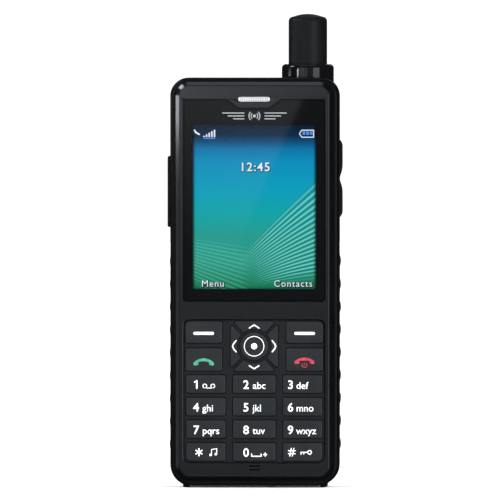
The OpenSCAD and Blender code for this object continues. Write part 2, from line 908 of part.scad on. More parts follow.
module battery_contacts() {
    finger_w = 1.2;
    color([0.85, 0.7, 0.35]) {
        block([-6, 6], [bay_y + gap, 6], [bay_z1, bay_z1 + 1.3]);
        for (x = [-4.5 : 3 : 4.5])
            block([x - finger_w / 2, x + finger_w / 2], [2, 4],
                [battery_z0 + battery_h + run, bay_z1 + eps]);
    }
}

module battery_door() {
    edge = 1;
    color([0.14, 0.15, 0.16]) difference() {
        hull() {
            upright(ledge_y, back_y - edge)
                rounded(door_w / 2, door_z0, door_z1, door_r, door_r, $fn = 32);
            upright(ledge_y, back_y)
                rounded(door_w / 2 - edge, door_z0 + edge, door_z1 - edge, door_r, door_r, $fn = 32);
        }
        for (x = door_screws_x) {
            rod_y(x, door_screw_z, ledge_y - eps, back_y + eps, screw_r + run);
            rod_y(x, door_screw_z, ledge_y + 0.6, back_y + eps, screw_head_r + run);
        }
    }
}

module door_screws() {
    slot_w = 0.6;
    color([0.6, 0.6, 0.62]) for (x = door_screws_x)
        difference() {
            union() {
                rod_y(x, door_screw_z, 6, ledge_y + 0.7, screw_r);
                rod_y(x, door_screw_z, ledge_y + 0.6, back_y - 0.1, screw_head_r);
            }
            block([x - 2, x + 2], [back_y - 0.6, back_y],
                [door_screw_z - slot_w / 2, door_screw_z + slot_w / 2]);
        }
}

module sim_card() {
    cut = 3;
    color([0.9, 0.9, 0.88]) upright(sim_y, sim_y + sim_t) polygon([
        [-sim_w / 2, sim_z0],
        [sim_w / 2, sim_z0],
        [sim_w / 2, sim_z0 + sim_h],
        [-sim_w / 2 + cut, sim_z0 + sim_h],
        [-sim_w / 2, sim_z0 + sim_h - cut]
    ]);
}

// A metal cage on the main board, open below
module sim_holder() {
    slack = 0.1;
    sheet = 0.3;
    inner = sim_w / 2 + slack;
    color([0.75, 0.76, 0.78]) difference() {
        block([-inner - sheet, inner + sheet], [board_y + board_t, sim_y + sim_t + slack + sheet],
            [sim_z0 + 2, sim_z0 + sim_h + slack + sheet]);
        block([-inner, inner], [sim_y - slack, sim_y + sim_t + slack],
            [sim_z0, sim_z0 + sim_h + slack]);
        block([-5, 5], [sim_y, sim_y + 3], [sim_z0, sim_z0 + 6]);
    }
}

module loudspeaker() {
    color([0.2, 0.2, 0.22])
        block([speaker_x0, speaker_x1], [inner_y - speaker_t, inner_y], [speaker_z0, speaker_z1]);
}

module vibration_motor() {
    color([0.75, 0.76, 0.78]) difference() {
        union() {
            rod_x(motor_y, motor_z, motor_x0, motor_x1, motor_r);
            block([motor_x0 + 1, motor_x1 - 1], [board_y + board_t, motor_y],
                [motor_z - 1.5, motor_z + 1.5]);
        }
        rod_x(motor_y, motor_z, motor_x1 - 2, motor_x1 + eps, shaft_r + run);
    }
}

// A half disc on its shaft
module vibration_weight() {
    disc_r = 2.2;
    color([0.6, 0.55, 0.4]) {
        difference() {
            rod_x(motor_y, motor_z, motor_x1 + 0.4, motor_x1 + 3.4, disc_r);
            block([motor_x1, motor_x1 + 4], [motor_y - 3, motor_y + 3],
                [motor_z + shaft_r, motor_z + 3]);
        }
        rod_x(motor_y, motor_z, motor_x1 - 1.8, motor_x1 + 3.4, shaft_r);
    }
}

digit_names = ["key_star", "key_0", "key_hash", "key_7", "key_8", "key_9",
    "key_4", "key_5", "key_6", "key_1", "key_2", "key_3"];

front_frame();
face_plate();
lens();
lcd_panel();
lcd_frame();
earpiece_grille();
earpiece_receiver();
microphone();
keypad_mat();
dome_board();
key_domes();
main_board();
shield_cans();
rear_housing();
housing_seal();
side_grip(-1);  // side_grip_left
side_grip(1);  // side_grip_right
base_feet();
antenna_collar();
antenna_seal();
antenna_guide();
antenna_contact();
usb_socket();
headset_socket();
volume_switches();
battery_contacts();
sim_holder();
loudspeaker();
vibration_motor();
housing_screws();
antenna_tube();
antenna_core();
wide_key(-1, soft_z0, soft_z1);  // soft_key_left
wide_key(1, soft_z0, soft_z1);  // soft_key_right
wide_key(-1, call_z0, call_z1);  // call_key
wide_key(1, call_z0, call_z1);  // end_key
nav_key(0);  // nav_up
nav_key(90);  // nav_left
nav_key(180);  // nav_down
nav_key(270);  // nav_right
select_key();
for (i = [0 : 11])
    digit_key(i % 3 - 1, floor(i / 3));
volume_rocker();
port_cover();
battery_pack();
battery_door();
door_screws();
sim_card();
vibration_weight();
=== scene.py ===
"""Looks of a handheld satellite phone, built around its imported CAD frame.

Lengths are in millimetres until a piece is settled, which scales it to metres.
X runs across the face, the face looks along -Y and +Z is up.
"""

import math

import bmesh
import bpy
from mathutils import Matrix, Vector, geometry


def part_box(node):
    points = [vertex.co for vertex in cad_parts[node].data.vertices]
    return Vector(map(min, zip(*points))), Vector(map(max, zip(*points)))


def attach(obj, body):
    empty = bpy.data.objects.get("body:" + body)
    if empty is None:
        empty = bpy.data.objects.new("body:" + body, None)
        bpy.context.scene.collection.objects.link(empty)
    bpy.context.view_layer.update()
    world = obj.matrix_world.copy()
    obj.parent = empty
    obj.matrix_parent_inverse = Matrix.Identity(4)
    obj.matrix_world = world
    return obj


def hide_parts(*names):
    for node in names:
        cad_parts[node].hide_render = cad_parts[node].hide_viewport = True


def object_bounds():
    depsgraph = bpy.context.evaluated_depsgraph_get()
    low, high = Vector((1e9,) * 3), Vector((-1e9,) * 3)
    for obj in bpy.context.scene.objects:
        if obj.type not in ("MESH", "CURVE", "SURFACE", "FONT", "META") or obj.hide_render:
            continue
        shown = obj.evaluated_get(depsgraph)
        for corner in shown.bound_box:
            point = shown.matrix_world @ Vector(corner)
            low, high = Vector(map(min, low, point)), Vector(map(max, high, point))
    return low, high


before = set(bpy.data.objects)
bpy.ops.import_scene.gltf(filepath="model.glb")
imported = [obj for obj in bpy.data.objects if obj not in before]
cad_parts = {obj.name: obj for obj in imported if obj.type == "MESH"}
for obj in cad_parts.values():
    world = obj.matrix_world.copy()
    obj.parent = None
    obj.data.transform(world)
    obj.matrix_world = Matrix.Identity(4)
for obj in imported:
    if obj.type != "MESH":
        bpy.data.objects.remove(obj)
cad_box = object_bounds()

MM = 0.001


# ---------------------------------------------------------------- outlines

def span(part):
    """The lowest and highest corner of a CAD node, in millimetres."""
    low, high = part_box(part)
    return low / MM, high / MM


def middle(part):
    """The middle of a CAD node, as (x, z)."""
    low, high = span(part)
    return (low.x + high.x) / 2, (low.z + high.z) / 2


def around(part, gap=0):
    """The box of a CAD node made larger by a gap, as pairs along X, Y and Z."""
    low, high = span(part)
    return [(low[i] - gap, high[i] + gap) for i in range(3)]


def offset(points, inset):
    """The corners of a counter-clockwise polygon with every side moved in."""
    moved = []
    for i, point in enumerate(points):
        before = (point - points[i - 1]).normalized()
        after = (points[(i + 1) % len(points)] - point).normalized()
        inward = Vector((-before.y - after.y, before.x + after.x))
        moved.append(point + inward * inset / (1 + before.dot(after)))
    return moved


def arc(centre, radius, start, turn, steps):
    """Points along an arc, with its angles in radians."""
    angles = [start + turn * i / steps for i in range(steps + 1)]
    return [centre + Vector((radius * math.cos(a), radius * math.sin(a))) for a in angles]


def circle(a, b, radius, steps=24):
    """The points of a whole circle, the first one not repeated."""
    return arc(Vector((a, b)), radius, 0, math.tau * (steps - 1) / steps, steps - 1)


def fillet(points, radii, steps):
    """A loop with each corner of a polygon rounded by its radius."""
    loop = []
    for i, (point, radius) in enumerate(zip(points, radii)):
        u = (points[i - 1] - point).normalized()
        v = (points[(i + 1) % len(points)] - point).normalized()
        half = u.angle(v) / 2
        centre = point + (u + v).normalized() * radius / math.sin(half)
        first = point + u * radius / math.tan(half) - centre
        last = point + v * radius / math.tan(half) - centre
        start = math.atan2(first.y, first.x)
        turn = math.atan2(last.y, last.x) - start
        turn = (turn + math.pi) % math.tau - math.pi
        loop += arc(centre, radius, start, turn, steps)
    return loop


def outline(corners, radii, steps=6):
    """A function from an inset to the loop of the polygon drawn in by it."""
    least = 0.03
    points = [Vector(c) for c in corners]
    bends = []
    for i, point in enumerate(points):
        before = point - points[i - 1]
        after = points[(i + 1) % len(points)] - point
        bends.append(1 if before.cross(after) > 0 else -1)

    def loop(inset):
        drawn = [max(r - b * inset, least) for r, b in zip(radii, bends)]
        return fillet(offset(points, inset), drawn, steps)

    return loop


def rectangle(x0, x1, z0, z1, low, high=None, steps=6):
    """The outline of a rectangle, with one radius below and another above."""
    high = low if high is None else high
    corners = [(x0, z0), (x1, z0), (x1, z1), (x0, z1)]
    return outline(corners, [low, low, high, high], steps)


def footprint(part, low, high=None, gap=0, steps=6):
    """The outline of a CAD node's box from the front, made larger by a gap."""
    x, _, z = around(part, gap)
    return rectangle(*x, *z, low, high, steps)


def disc(x, z, radius, steps=32):
    """The outline of a circle, as a function from an inset."""
    return lambda inset: circle(x, z, radius - inset, steps)


def over_edge(y, radius, inset=0, steps=4, depth=None):
    """(inset, y) pairs from a front face round an edge to the side."""
    depth = radius if depth is None else depth
    turns = [math.pi / 2 * i / steps for i in range(steps + 1)]
    return [(inset + radius * (1 - math.sin(a)), y + depth * (1 - math.cos(a))) for a in turns]


def under_edge(y, radius, steps=4):
    """(inset, y) pairs from a side round an edge to the back face."""
    return [(i, 2 * y - h) for i, h in reversed(over_edge(y, radius, steps=steps))]


def grown(profile):
    """The same profile for a hole, whose loops grow where a solid's shrink."""
    return [(-inset, y) for inset, y in profile]


# ---------------------------------------------------------------- meshes

def ring(loop, y):
    return [(p[0], y, p[1]) for p in loop]


def rings(shape, profile):
    return [ring(shape(inset), y) for inset, y in profile]


def add_solid(bm, stack, holes=()):
    """A closed solid: rings joined in a stack, and holes that go right through."""
    stacks = [[[bm.verts.new(p) for p in r] for r in s] for s in [stack, *holes]]
    for s in stacks:
        for a, b in zip(s, s[1:]):
            for i in range(len(a)):
                bm.faces.new((a[i - 1], a[i], b[i], b[i - 1]))
    for end in (0, -1):
        ends = [s[end] for s in stacks]
        if len(ends) == 1:
            bm.faces.new(ends[0])
            continue
        points = [v for r in ends for v in r]
        for corners in geometry.tessellate_polygon([[v.co for v in r] for r in ends]):
            bm.faces.new([points[i] for i in corners])


def solid(stack, holes=()):
    """A new mesh with one closed solid in it."""
    bm = bmesh.new()
    add_solid(bm, stack, holes)
    return bm


def add_block(bm, x, y, z):
    corners = [[(x[0], y[i], z[0]), (x[1], y[i], z[0]), (x[1], y[i], z[1]), (x[0], y[i], z[1])]
               for i in (0, 1)]
    add_solid(bm, corners)


def add_rod(bm, axis, a, b, start, end, radius, steps=32):
    """A cylinder along an axis: a and b are its place on the other two, in XYZ order."""
    order = {"X": lambda p, at: (at, p.x, p.y),
             "Y": lambda p, at: (p.x, at, p.y),
             "Z": lambda p, at: (p.x, p.y, at)}[axis]
    points = circle(a, b, radius, steps)
    add_solid(bm, [[order(p, at) for p in points] for at in (start, end)])


def add_lathe(bm, x, y, profile, steps=72):
    """A closed ring turned about Z from a closed profile of (radius, z)."""
    circles = []
    for radius, z in profile:
        circles.append([bm.verts.new((p.x, p.y, z)) for p in circle(x, y, radius, steps)])
    for a, b in zip(circles, circles[1:] + circles[:1]):
        for i in range(steps):
            bm.faces.new((a[i - 1], a[i], b[i], b[i - 1]))


def new_object(name, bm):
    """An object from a mesh under construction, still in millimetres."""
    bmesh.ops.recalc_face_normals(bm, faces=bm.faces)
    mesh = bpy.data.meshes.new(name)
    bm.to_mesh(mesh)
    bm.free()
    obj = bpy.data.objects.new(name, mesh)
    bpy.context.scene.collection.objects.link(obj)
    return obj


def combine(obj, bm, operation):
    """Adds another solid to a piece, or cuts it away."""
    tool = new_object("tool", bm)
    step = obj.modifiers.new("combine", "BOOLEAN")
    step.operation = operation
    step.solver = "EXACT"
    step.use_self = True
    step.object = tool
    graph = bpy.context.evaluated_depsgraph_get()
    mesh = bpy.data.meshes.new_from_object(obj.evaluated_get(graph))
    if len(mesh.polygons) < len(obj.data.polygons) / 2:
        raise RuntimeError(obj.name + " lost its mesh in a boolean step")
    obj.modifiers.clear()
    obj.data = mesh
    bpy.data.objects.remove(tool)


def settle(obj, body, slot, material, stands_for=(), sharp=40, bevel=0):
    """Scales a piece to metres, gives it its finish and sets it on its body."""
    obj.data.transform(Matrix.Scale(MM, 4))
    obj.data.materials.clear()
    obj.data.materials.append(MATERIALS[material])
    obj.data.shade_smooth()
    obj.data.set_sharp_from_angle(angle=math.radians(sharp))
    if bevel:
        edge = obj.modifiers.new("edge", "BEVEL")
        edge.width = bevel * MM
        edge.segments = 2
        edge.limit_method = "ANGLE"
        edge.angle_limit = math.radians(sharp)
        edge.harden_normals = True
    obj.modifiers.new("normals", "WEIGHTED_NORMAL").keep_sharp = True
    if stands_for:
        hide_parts(*stands_for)
    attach(obj, body)


def add_piece(name, bm, *finish, **edges):
    """Makes a piece of a finished mesh and settles it."""
    settle(new_object(name, bm), *finish, **edges)


# ---------------------------------------------------------------- materials

def colour(red, green, blue):
    """A linear colour from 0 to 255 display values."""
    linear = []
    for value in (red, green, blue):
        c = value / 255
        linear.append(c / 12.92 if c <= 0.04045 else ((c + 0.055) / 1.055) ** 2.4)
    return (*linear, 1)


def node(tree, kind, settings=None, inputs=None):
    made = tree.nodes.new(kind)
    for key, value in (settings or {}).items():
        setattr(made, key, value)
    for key, value in (inputs or {}).items():
        if isinstance(value, bpy.types.NodeSocket):
            tree.links.new(value, made.inputs[key])
        else:
            made.inputs[key].default_value = value
    return made


def calc(tree, operation, *values, clamp=False):
    settings = {"operation": operation, "use_clamp": clamp}
    return node(tree, "ShaderNodeMath", settings, dict(enumerate(values))).outputs[0]


def times(tree, *values):
    """The product of two or more values."""
    product = values[0]
    for value in values[1:]:
        product = calc(tree, "MULTIPLY", product, value)
    return product


def blank(name):
    """A material with an empty tree, and the object's coordinates."""
    material = bpy.data.materials.new(name)
    material.use_nodes = True
    tree = material.node_tree
    tree.nodes.clear()
    place = node(tree, "ShaderNodeTexCoord").outputs["Object"]
    return material, tree, place


def finish_tree(tree, inputs):
    """The material's shader, with these inputs, and its output."""
    shader = node(tree, "ShaderNodeBsdfPrincipled", inputs=inputs).outputs[0]
    tree.links.new(shader, node(tree, "ShaderNodeOutputMaterial").inputs["Surface"])


def noise(tree, place, grain, detail=2):
    """Noise whose features are about as large as grain, in millimetres."""
    inputs = {"Vector": place, "Scale": 1 / (grain * MM), "Detail": detail}
    return node(tree, "ShaderNodeTexNoise", inputs=inputs).outputs[0]


def spread(tree, value, low, high, start=0.3, end=0.7):
    inputs = {"Value": value, "From Min": start, "From Max": end, "To Min": low, "To Max": high}
    return node(tree, "ShaderNodeMapRange", inputs=inputs).outputs[0]


def mixed(tree, share, first, second):
    inputs = {0: share, 6: first, 7: second}
    return node(tree, "ShaderNodeMix", {"data_type": "RGBA"}, inputs).outputs[2]


def surface(name, dark, light, rough, grain=0.25, relief=0.01, metallic=0, shine=0.5, coat=0):
    """A moulded, painted or metal surface with a fine grain and a slow drift of tone.

    dark and light are display colours, rough is the least and most roughness, and relief is
    the grain's height in millimetres.
    """
    drift_size, drift_share = (14, 0.45)
    material, tree, place = blank(name)
    fine = noise(tree, place, grain)
    slow = noise(tree, place, drift_size, 3)
    tone = calc(tree, "MULTIPLY_ADD", fine, 1 - drift_share, times(tree, slow, drift_share))
    inputs = {
        "Base Color": mixed(tree, spread(tree, tone, 0, 1), colour(*dark), colour(*light)),
        "Roughness": spread(tree, tone, *rough),
        "Metallic": metallic,
        "Specular IOR Level": shine,
        "Coat Weight": coat,
        "Coat Roughness": 0.08,
        "Normal": node(tree, "ShaderNodeBump", inputs={
            "Strength": 1.0, "Distance": relief * MM, "Height": fine}).outputs[0],
    }
    finish_tree(tree, inputs)
    return material


def circuit_board(name):
    """Green solder mask with faint tracks."""
    track = 1.2
    material, tree, place = blank(name)
    bricks = node(tree, "ShaderNodeTexBrick", {"offset": 0.37}, {
        "Vector": node(tree, "ShaderNodeMapping", inputs={
            "Vector": place, "Rotation": (math.radians(90), 0, 0)}).outputs[0],
        "Scale": 1 / (track * MM), "Mortar Size": 0.12, "Brick Width": 2.4, "Row Height": 0.5,
        "Color1": colour(18, 74, 44), "Color2": colour(22, 84, 50), "Mortar": colour(38, 116, 70)})
    inputs = {"Base Color": bricks.outputs[0],
              "Roughness": spread(tree, noise(tree, place, 0.5), 0.3, 0.5)}
    finish_tree(tree, inputs)
    return material


def clear_glass(name):
    """The lens's clear front: nearly all of what is behind it shows, under a mirror's sheen."""
    material, tree, _ = blank(name)
    inputs = {"Base Color": colour(235, 242, 250), "Metallic": 1, "Roughness": 0.03,
              "Alpha": 0.016}
    finish_tree(tree, inputs)
    return material


def glowing(name, tint, strength):
    """A surface that gives off light of a display colour."""
    material, tree, place = blank(name)
    flicker = spread(tree, noise(tree, place, 0.4), 0.92, 1.0)
    inputs = {"Base Color": (0, 0, 0, 1), "Roughness": 0.5, "Emission Color": colour(*tint),
              "Emission Strength": times(tree, flicker, strength)}
    finish_tree(tree, inputs)
    return material


SCREEN_W, SCREEN_H, SCREEN_Z = (40.6, 53.6, 91.4)
# Colours down the display, as (distance from its top in mm, colour)
SCREEN_STOPS = [
    (0, (2, 22, 44)), (3.4, (2, 40, 70)), (5.4, (2, 74, 118)), (8, (2, 118, 170)),
    (12, (0, 142, 188)), (21, (0, 158, 188)), (29, (8, 164, 168)), (36, (36, 156, 144)),
    (45, (42, 150, 128)), (50, (26, 132, 98)), (SCREEN_H, (12, 108, 72)),
]


def fan(tree, x, z, centre, count, sharpness):
    """Stripes that spread from a point, and their angle and distance from it."""
    dx = calc(tree, "SUBTRACT", x, centre[0])
    dz = calc(tree, "SUBTRACT", z, centre[1])
    angle = calc(tree, "ARCTAN2", dz, dx)
    far = calc(tree, "SQRT", calc(tree, "ADD", times(tree, dx, dx), times(tree, dz, dz)))
    wave = calc(tree, "SINE", times(tree, angle, count))
    stripe = calc(tree, "POWER", calc(tree, "MULTIPLY_ADD", wave, 0.5, 0.5), sharpness)
    return stripe, angle, far


def fade(tree, value, start, end):
    """0 up to start and 1 past end, smoothly; it falls where end is below start."""
    inputs = {"Value": value, "From Min": start, "From Max": end}
    return node(tree, "ShaderNodeMapRange", {"interpolation_type": "SMOOTHSTEP"}, inputs).outputs[0]


def display_light(name, centre_z):
    """A colour field from navy through blue to green, with two fans of fine light lines."""
    material, tree, place = blank(name)
    axes = node(tree, "ShaderNodeSeparateXYZ", inputs={0: place}).outputs
    x = calc(tree, "DIVIDE", axes[0], MM)
    z = calc(tree, "SUBTRACT", calc(tree, "DIVIDE", axes[2], MM), centre_z)
    down = calc(tree, "DIVIDE", calc(tree, "SUBTRACT", SCREEN_H / 2, z), SCREEN_H, clamp=True)
    ramp = node(tree, "ShaderNodeValToRGB", inputs={0: down})
    stops = ramp.color_ramp.elements
    for at, tint in SCREEN_STOPS[1:-1]:
        stops.new(at / SCREEN_H).color = colour(*tint)
    stops[0].color = colour(*SCREEN_STOPS[0][1])
    stops[-1].color = colour(*SCREEN_STOPS[-1][1])
    # Wide fan on the right, whose lines bend down a little
    right_x = calc(tree, "ADD", x, 5)
    bend = times(tree, right_x, right_x, 0.003)
    stripe, angle, far = fan(tree, x, calc(tree, "ADD", z, bend), (-17.3, -30.2), 195, 2.0)
    band = times(tree, fade(tree, angle, 0.2, 0.34), fade(tree, angle, 0.85, 0.78),
                 fade(tree, far, 14, 32))
    right = times(tree, stripe, band)
    # Narrow, fainter fan on the left
    stripe, angle, _ = fan(tree, x, z, (-58, -5), 250, 1.2)
    side = times(tree, fade(tree, angle, -0.5, -0.42), fade(tree, angle, -0.1, -0.2),
                 fade(tree, x, 0, -6))
    left = times(tree, stripe, side, 0.2)
    lines = calc(tree, "ADD", times(tree, right, 0.72), left, clamp=True)
    base = mixed(tree, times(tree, band, 0.55), ramp.outputs[0], colour(8, 108, 118))
    lit = mixed(tree, lines, base, colour(128, 240, 220))
    # The light falls off at the edges
    rim = fade(tree, calc(tree, "ABSOLUTE", x), SCREEN_W / 2, SCREEN_W / 2 - 1.3)
    foot = fade(tree, calc(tree, "ADD", z, SCREEN_H / 2), -0.1, 0.7)
    inputs = {"Base Color": (0, 0, 0, 1), "Roughness": 0.6, "Specular IOR Level": 0.0,
              "Emission Color": lit, "Emission Strength": times(tree, rim, foot)}
    finish_tree(tree, inputs)
    return material


MATERIALS = {
    "shell": surface("shell_black", (3, 3, 4), (6, 6, 7), (0.3, 0.4), shine=0.25),
    "shell_rear": surface("shell_rear_black", (12, 13, 14), (23, 24, 26), (0.44, 0.58),
                          grain=0.35, relief=0.02),
    "face": surface("face_satin", (4, 5, 7), (7, 9, 12), (0.2, 0.25),
                    grain=0.2, relief=0.001, shine=0.9),
    "border": surface("lens_print", (3, 3, 4), (5, 5, 6), (0.03, 0.04), relief=0,
                      shine=0.3),
    "shade": surface("print_shade", (4, 10, 14), (6, 14, 18), (0.5, 0.6), relief=0.001,
                     shine=0.1),
    "silver": surface("silver_print", (170, 172, 176), (205, 206, 210), (0.3, 0.42),
                      relief=0.003, metallic=0.6),
    "grille": surface("grille_silver", (205, 207, 212), (236, 238, 242), (0.25, 0.4),
                      relief=0.003, metallic=0.35),
    "key": surface("key_satin", (18, 21, 23), (30, 33, 36), (0.36, 0.46),
                   grain=0.3, relief=0.008, shine=0.7),
    "mat": surface("mat_rubber", (12, 13, 15), (22, 24, 27), (0.46, 0.6),
                   grain=0.3, relief=0.01, shine=0.4),
    "rubber": surface("grip_rubber", (9, 9, 10), (20, 20, 22), (0.6, 0.8),
                      grain=0.4, relief=0.03, shine=0.3),
    "antenna": surface("antenna_matte", (9, 10, 11), (16, 17, 18), (0.42, 0.52),
                       grain=0.3, relief=0.012, shine=0.3),
    "collar": surface("collar_gloss", (8, 8, 9), (14, 14, 16), (0.1, 0.16),
                      relief=0.001, shine=0.3, coat=0.3),
    "steel": surface("steel", (140, 142, 146), (196, 198, 202), (0.22, 0.38),
                     relief=0.003, metallic=1),
    "contact": surface("gold_contact", (176, 138, 62), (220, 184, 104), (0.2, 0.34),
                       relief=0.002, metallic=1),
    "white": surface("print_white", (236, 238, 240), (252, 252, 252), (0.45, 0.6),
                     relief=0.002),
    "green": surface("print_green", (26, 112, 84), (80, 168, 138), (0.4, 0.55),
                     grain=1.2, relief=0.002),
    "red": surface("print_red", (150, 30, 52), (206, 72, 96), (0.4, 0.55),
                   grain=1.2, relief=0.002),
    "inner": surface("inner_plastic", (34, 34, 36), (52, 52, 55), (0.45, 0.6)),
    "battery": surface("battery_wrap", (52, 53, 57), (74, 75, 80), (0.36, 0.5),
                       grain=0.5, relief=0.006),
    "ceramic": surface("ceramic", (214, 206, 186), (236, 230, 214), (0.4, 0.55),
                       grain=0.8),
    "card": surface("card", (222, 222, 216), (240, 240, 236), (0.35, 0.5), grain=0.6,
                    relief=0.003),
    "board": circuit_board("board_green"),
    "glass": clear_glass("lens_clear"),
    "display": display_light("display_light", SCREEN_Z),
    "glow": glowing("mark_light", (236, 244, 255), 1.0),
    "glow_blue": glowing("mark_blue", (80, 140, 236), 1.0),
}


# ---------------------------------------------------------------- sizes

FRAME_LOW, FRAME_HIGH = span("front_frame")
FACE_LOW, FACE_HIGH = span("face_plate")
LENS_LOW, LENS_HIGH = span("lens")
MAT_LOW, MAT_HIGH = span("keypad_mat")
DOOR_LOW, DOOR_HIGH = span("battery_door")

BODY_CORNERS = (7, 6)
FACE_CORNER = 4.7
FRONT_Y = FACE_LOW.y
PLATE_Y = FACE_HIGH.y
RIM_Y = FRAME_LOW.y
WALL_Y = PLATE_Y + 1.2
PARTING_Y = FRAME_HIGH.y
ROUND_Y = 5
SHELL_Y = DOOR_HIGH.y - 0.2
INNER_Y = SHELL_Y - 1.8
LEDGE_Y = DOOR_LOW.y
BAY_Y = -0.2
BACK_INSET = 5
FRAME_WALL = 1.6
REAR_WALL = 1.8
SCREWS = [(-24, 11), (24, 11), (-24, 60), (24, 60), (-22.5, 125.5), (7.9, 125.6)]
DOOR_SCREWS_X = (-15.5, 15.5)
DOOR_SCREW_Z = 11.2
SCREW_BORE = 1.05
ANTENNA_X, ANTENNA_Y = (17, 3.5)
COVER_Z = (84.8, 108.2)
FLAP_Z = (84.9, 108.1)
HINGE_Y, HINGE_R = (3, 0.9)
JACK_Y, JACK_Z, JACK_R = (-1.8, 102, 2.4)
PIVOT_X, PIVOT_R = (24.6, 0.9)
FOOT_W = 2
GAP = 0.05
SHELL_EDGE = 0.12

body = footprint("front_frame", *BODY_CORNERS, steps=14)
face = footprint("face_plate", FACE_CORNER, steps=14)
pad = rectangle(-23, 23, 8.05, 54.8, 2.1, steps=8)
earpiece = rectangle(-5.2, 5.2, 125.87, 127.43, 0.77, steps=8)
screen = rectangle(-SCREEN_W / 2, SCREEN_W / 2, SCREEN_Z - SCREEN_H / 2, SCREEN_Z + SCREEN_H / 2, 0.1)
slits = [rectangle(-1.7, 1.9, z - 0.2, z + 0.2, 0.19, steps=4) for z in (5.85, 7.05)]

NOTCH_LOW, NOTCH_HIGH, NOTCH_DROP = (4.9, 8.9, 2.9)
lens = outline(
    [(LENS_LOW.x, LENS_LOW.z), (LENS_HIGH.x, LENS_LOW.z), (LENS_HIGH.x, LENS_HIGH.z),
     (NOTCH_HIGH, LENS_HIGH.z), (NOTCH_LOW, LENS_HIGH.z - NOTCH_DROP),
     (-NOTCH_LOW, LENS_HIGH.z - NOTCH_DROP), (-NOTCH_HIGH, LENS_HIGH.z),
     (LENS_LOW.x, LENS_HIGH.z)],
    [1, 1, 1, 0.8, 0.6, 0.6, 0.8, 1])


# ---------------------------------------------------------------- shells

def add_antenna_cuts(bm):
    """The collar's seat, and the bore for the guide under it."""
    overlap = 0.1
    collar_x, _, collar_z = around("antenna_collar")
    guide_x, _, guide_z = around("antenna_guide")
    collar_r = (collar_x[1] - collar_x[0]) / 2 + GAP
    guide_r = (guide_x[1] - guide_x[0]) / 2 + GAP
    add_rod(bm, "Z", ANTENNA_X, ANTENNA_Y, collar_z[0], FRAME_HIGH.z + 5, collar_r, 72)
    add_rod(bm, "Z", ANTENNA_X, ANTENNA_Y, guide_z[0] - overlap, collar_z[0] + overlap, guide_r, 48)


def add_shared_cuts(bm):
    """What both shells leave free: collar, port cover, ports, rocker, grips and feet."""
    add_antenna_cuts(bm)
    side, port_depth, beyond = (FRAME_HIGH.x, 3, 5)
    cover_low, _ = span("port_cover")
    add_block(bm, (-side - 2, cover_low.x + 1.8), (cover_low.y - 0.1, HINGE_Y), COVER_Z)
    add_rod(bm, "Z", cover_low.x + HINGE_R, HINGE_Y, *COVER_Z, HINGE_R + 0.15)
    _, usb_y, usb_z = around("usb_socket", 0.1)
    add_block(bm, (-side, -side + port_depth), usb_y, usb_z)
    add_rod(bm, "X", JACK_Y, JACK_Z, -side, -side + port_depth, JACK_R)
    add_block(bm, (side - 3, side + 1), (-5.1, 1.1), around("volume_rocker", 0.3)[2])
    grip_low, _ = span("side_grip_right")
    _, grip_y, grip_z = around("side_grip_right", GAP)
    for x in ((grip_low.x, side + beyond), (-side - beyond, -grip_low.x)):
        add_block(bm, x, grip_y, grip_z)
    feet_low, feet_high = span("base_feet")
    for x in (feet_low.x, feet_high.x - FOOT_W):
        add_block(bm, (x - GAP, x + FOOT_W + GAP), around("base_feet", GAP)[1],
                  (feet_low.z - 1, feet_high.z + GAP))


def build_front_shell():
    """The rim around the face, the sides to the parting line and the wall behind the face."""
    rib_y = (WALL_Y - 0.1, -5.4)
    stack = [ring(face(-0.1), PLATE_Y), ring(face(-0.1), RIM_Y + 0.1), ring(face(-0.2), RIM_Y)]
    stack += rings(body, over_edge(RIM_Y, 1, steps=9, depth=1.35))
    stack += rings(body, [(0, PARTING_Y - 0.3), (0.22, PARTING_Y - 0.08), (0.3, PARTING_Y)])
    stack += rings(body, [(FRAME_WALL, PARTING_Y), (FRAME_WALL, WALL_Y)])
    through = [(0, PLATE_Y), (0, WALL_Y)]
    windows = [(-20.75, 20.75, 63.8, 119, 0.3), (-23, 23, 8.05, 54.8, 0.9),
               (-4.8, 4.8, 126.1, 127.3, 0.3)]
    shell = new_object("front_shell",
                       solid(stack, [rings(rectangle(*w), through) for w in windows]))
    ribs = bmesh.new()
    for x in ((-20, -4), (4, 20)):
        add_block(ribs, x, rib_y, (FRAME_WALL, 6))
    add_block(ribs, (-21, 21), rib_y, (57.3, 60.5))
    add_block(ribs, (23, 26.4), (-6.9, -5.1), (98.75, 102.75))
    combine(shell, ribs, "UNION")
    cuts = bmesh.new()
    add_shared_cuts(cuts)
    combine(shell, cuts, "DIFFERENCE")
    settle(shell, "root", "frame", "shell", ["front_frame"], bevel=SHELL_EDGE)


def add_rear_inside(bm):
    """Walls of the battery bay, the ledge under its door, bosses and the speaker's box."""
    back_y = INNER_Y + 0.9
    boss_r, cup_r, cup_y = (1.8, 3.1, 7.6)
    add_block(bm, (-21, 21), (PARTING_Y, back_y), (13, 83.4))
    add_block(bm, (-22.3, 22.3), (LEDGE_Y - 1.8, back_y), (6.2, 85.8))
    for x, z in SCREWS:
        add_rod(bm, "Y", x, z, PARTING_Y, INNER_Y + 0.5, boss_r, 24)
        add_rod(bm, "Y", x, z, cup_y, INNER_Y + 0.6, cup_r, 24)
    x, _, z = around("loudspeaker", 1.2)
    add_block(bm, x, (span("loudspeaker")[0].y + 0.4, INNER_Y + 0.7), z)


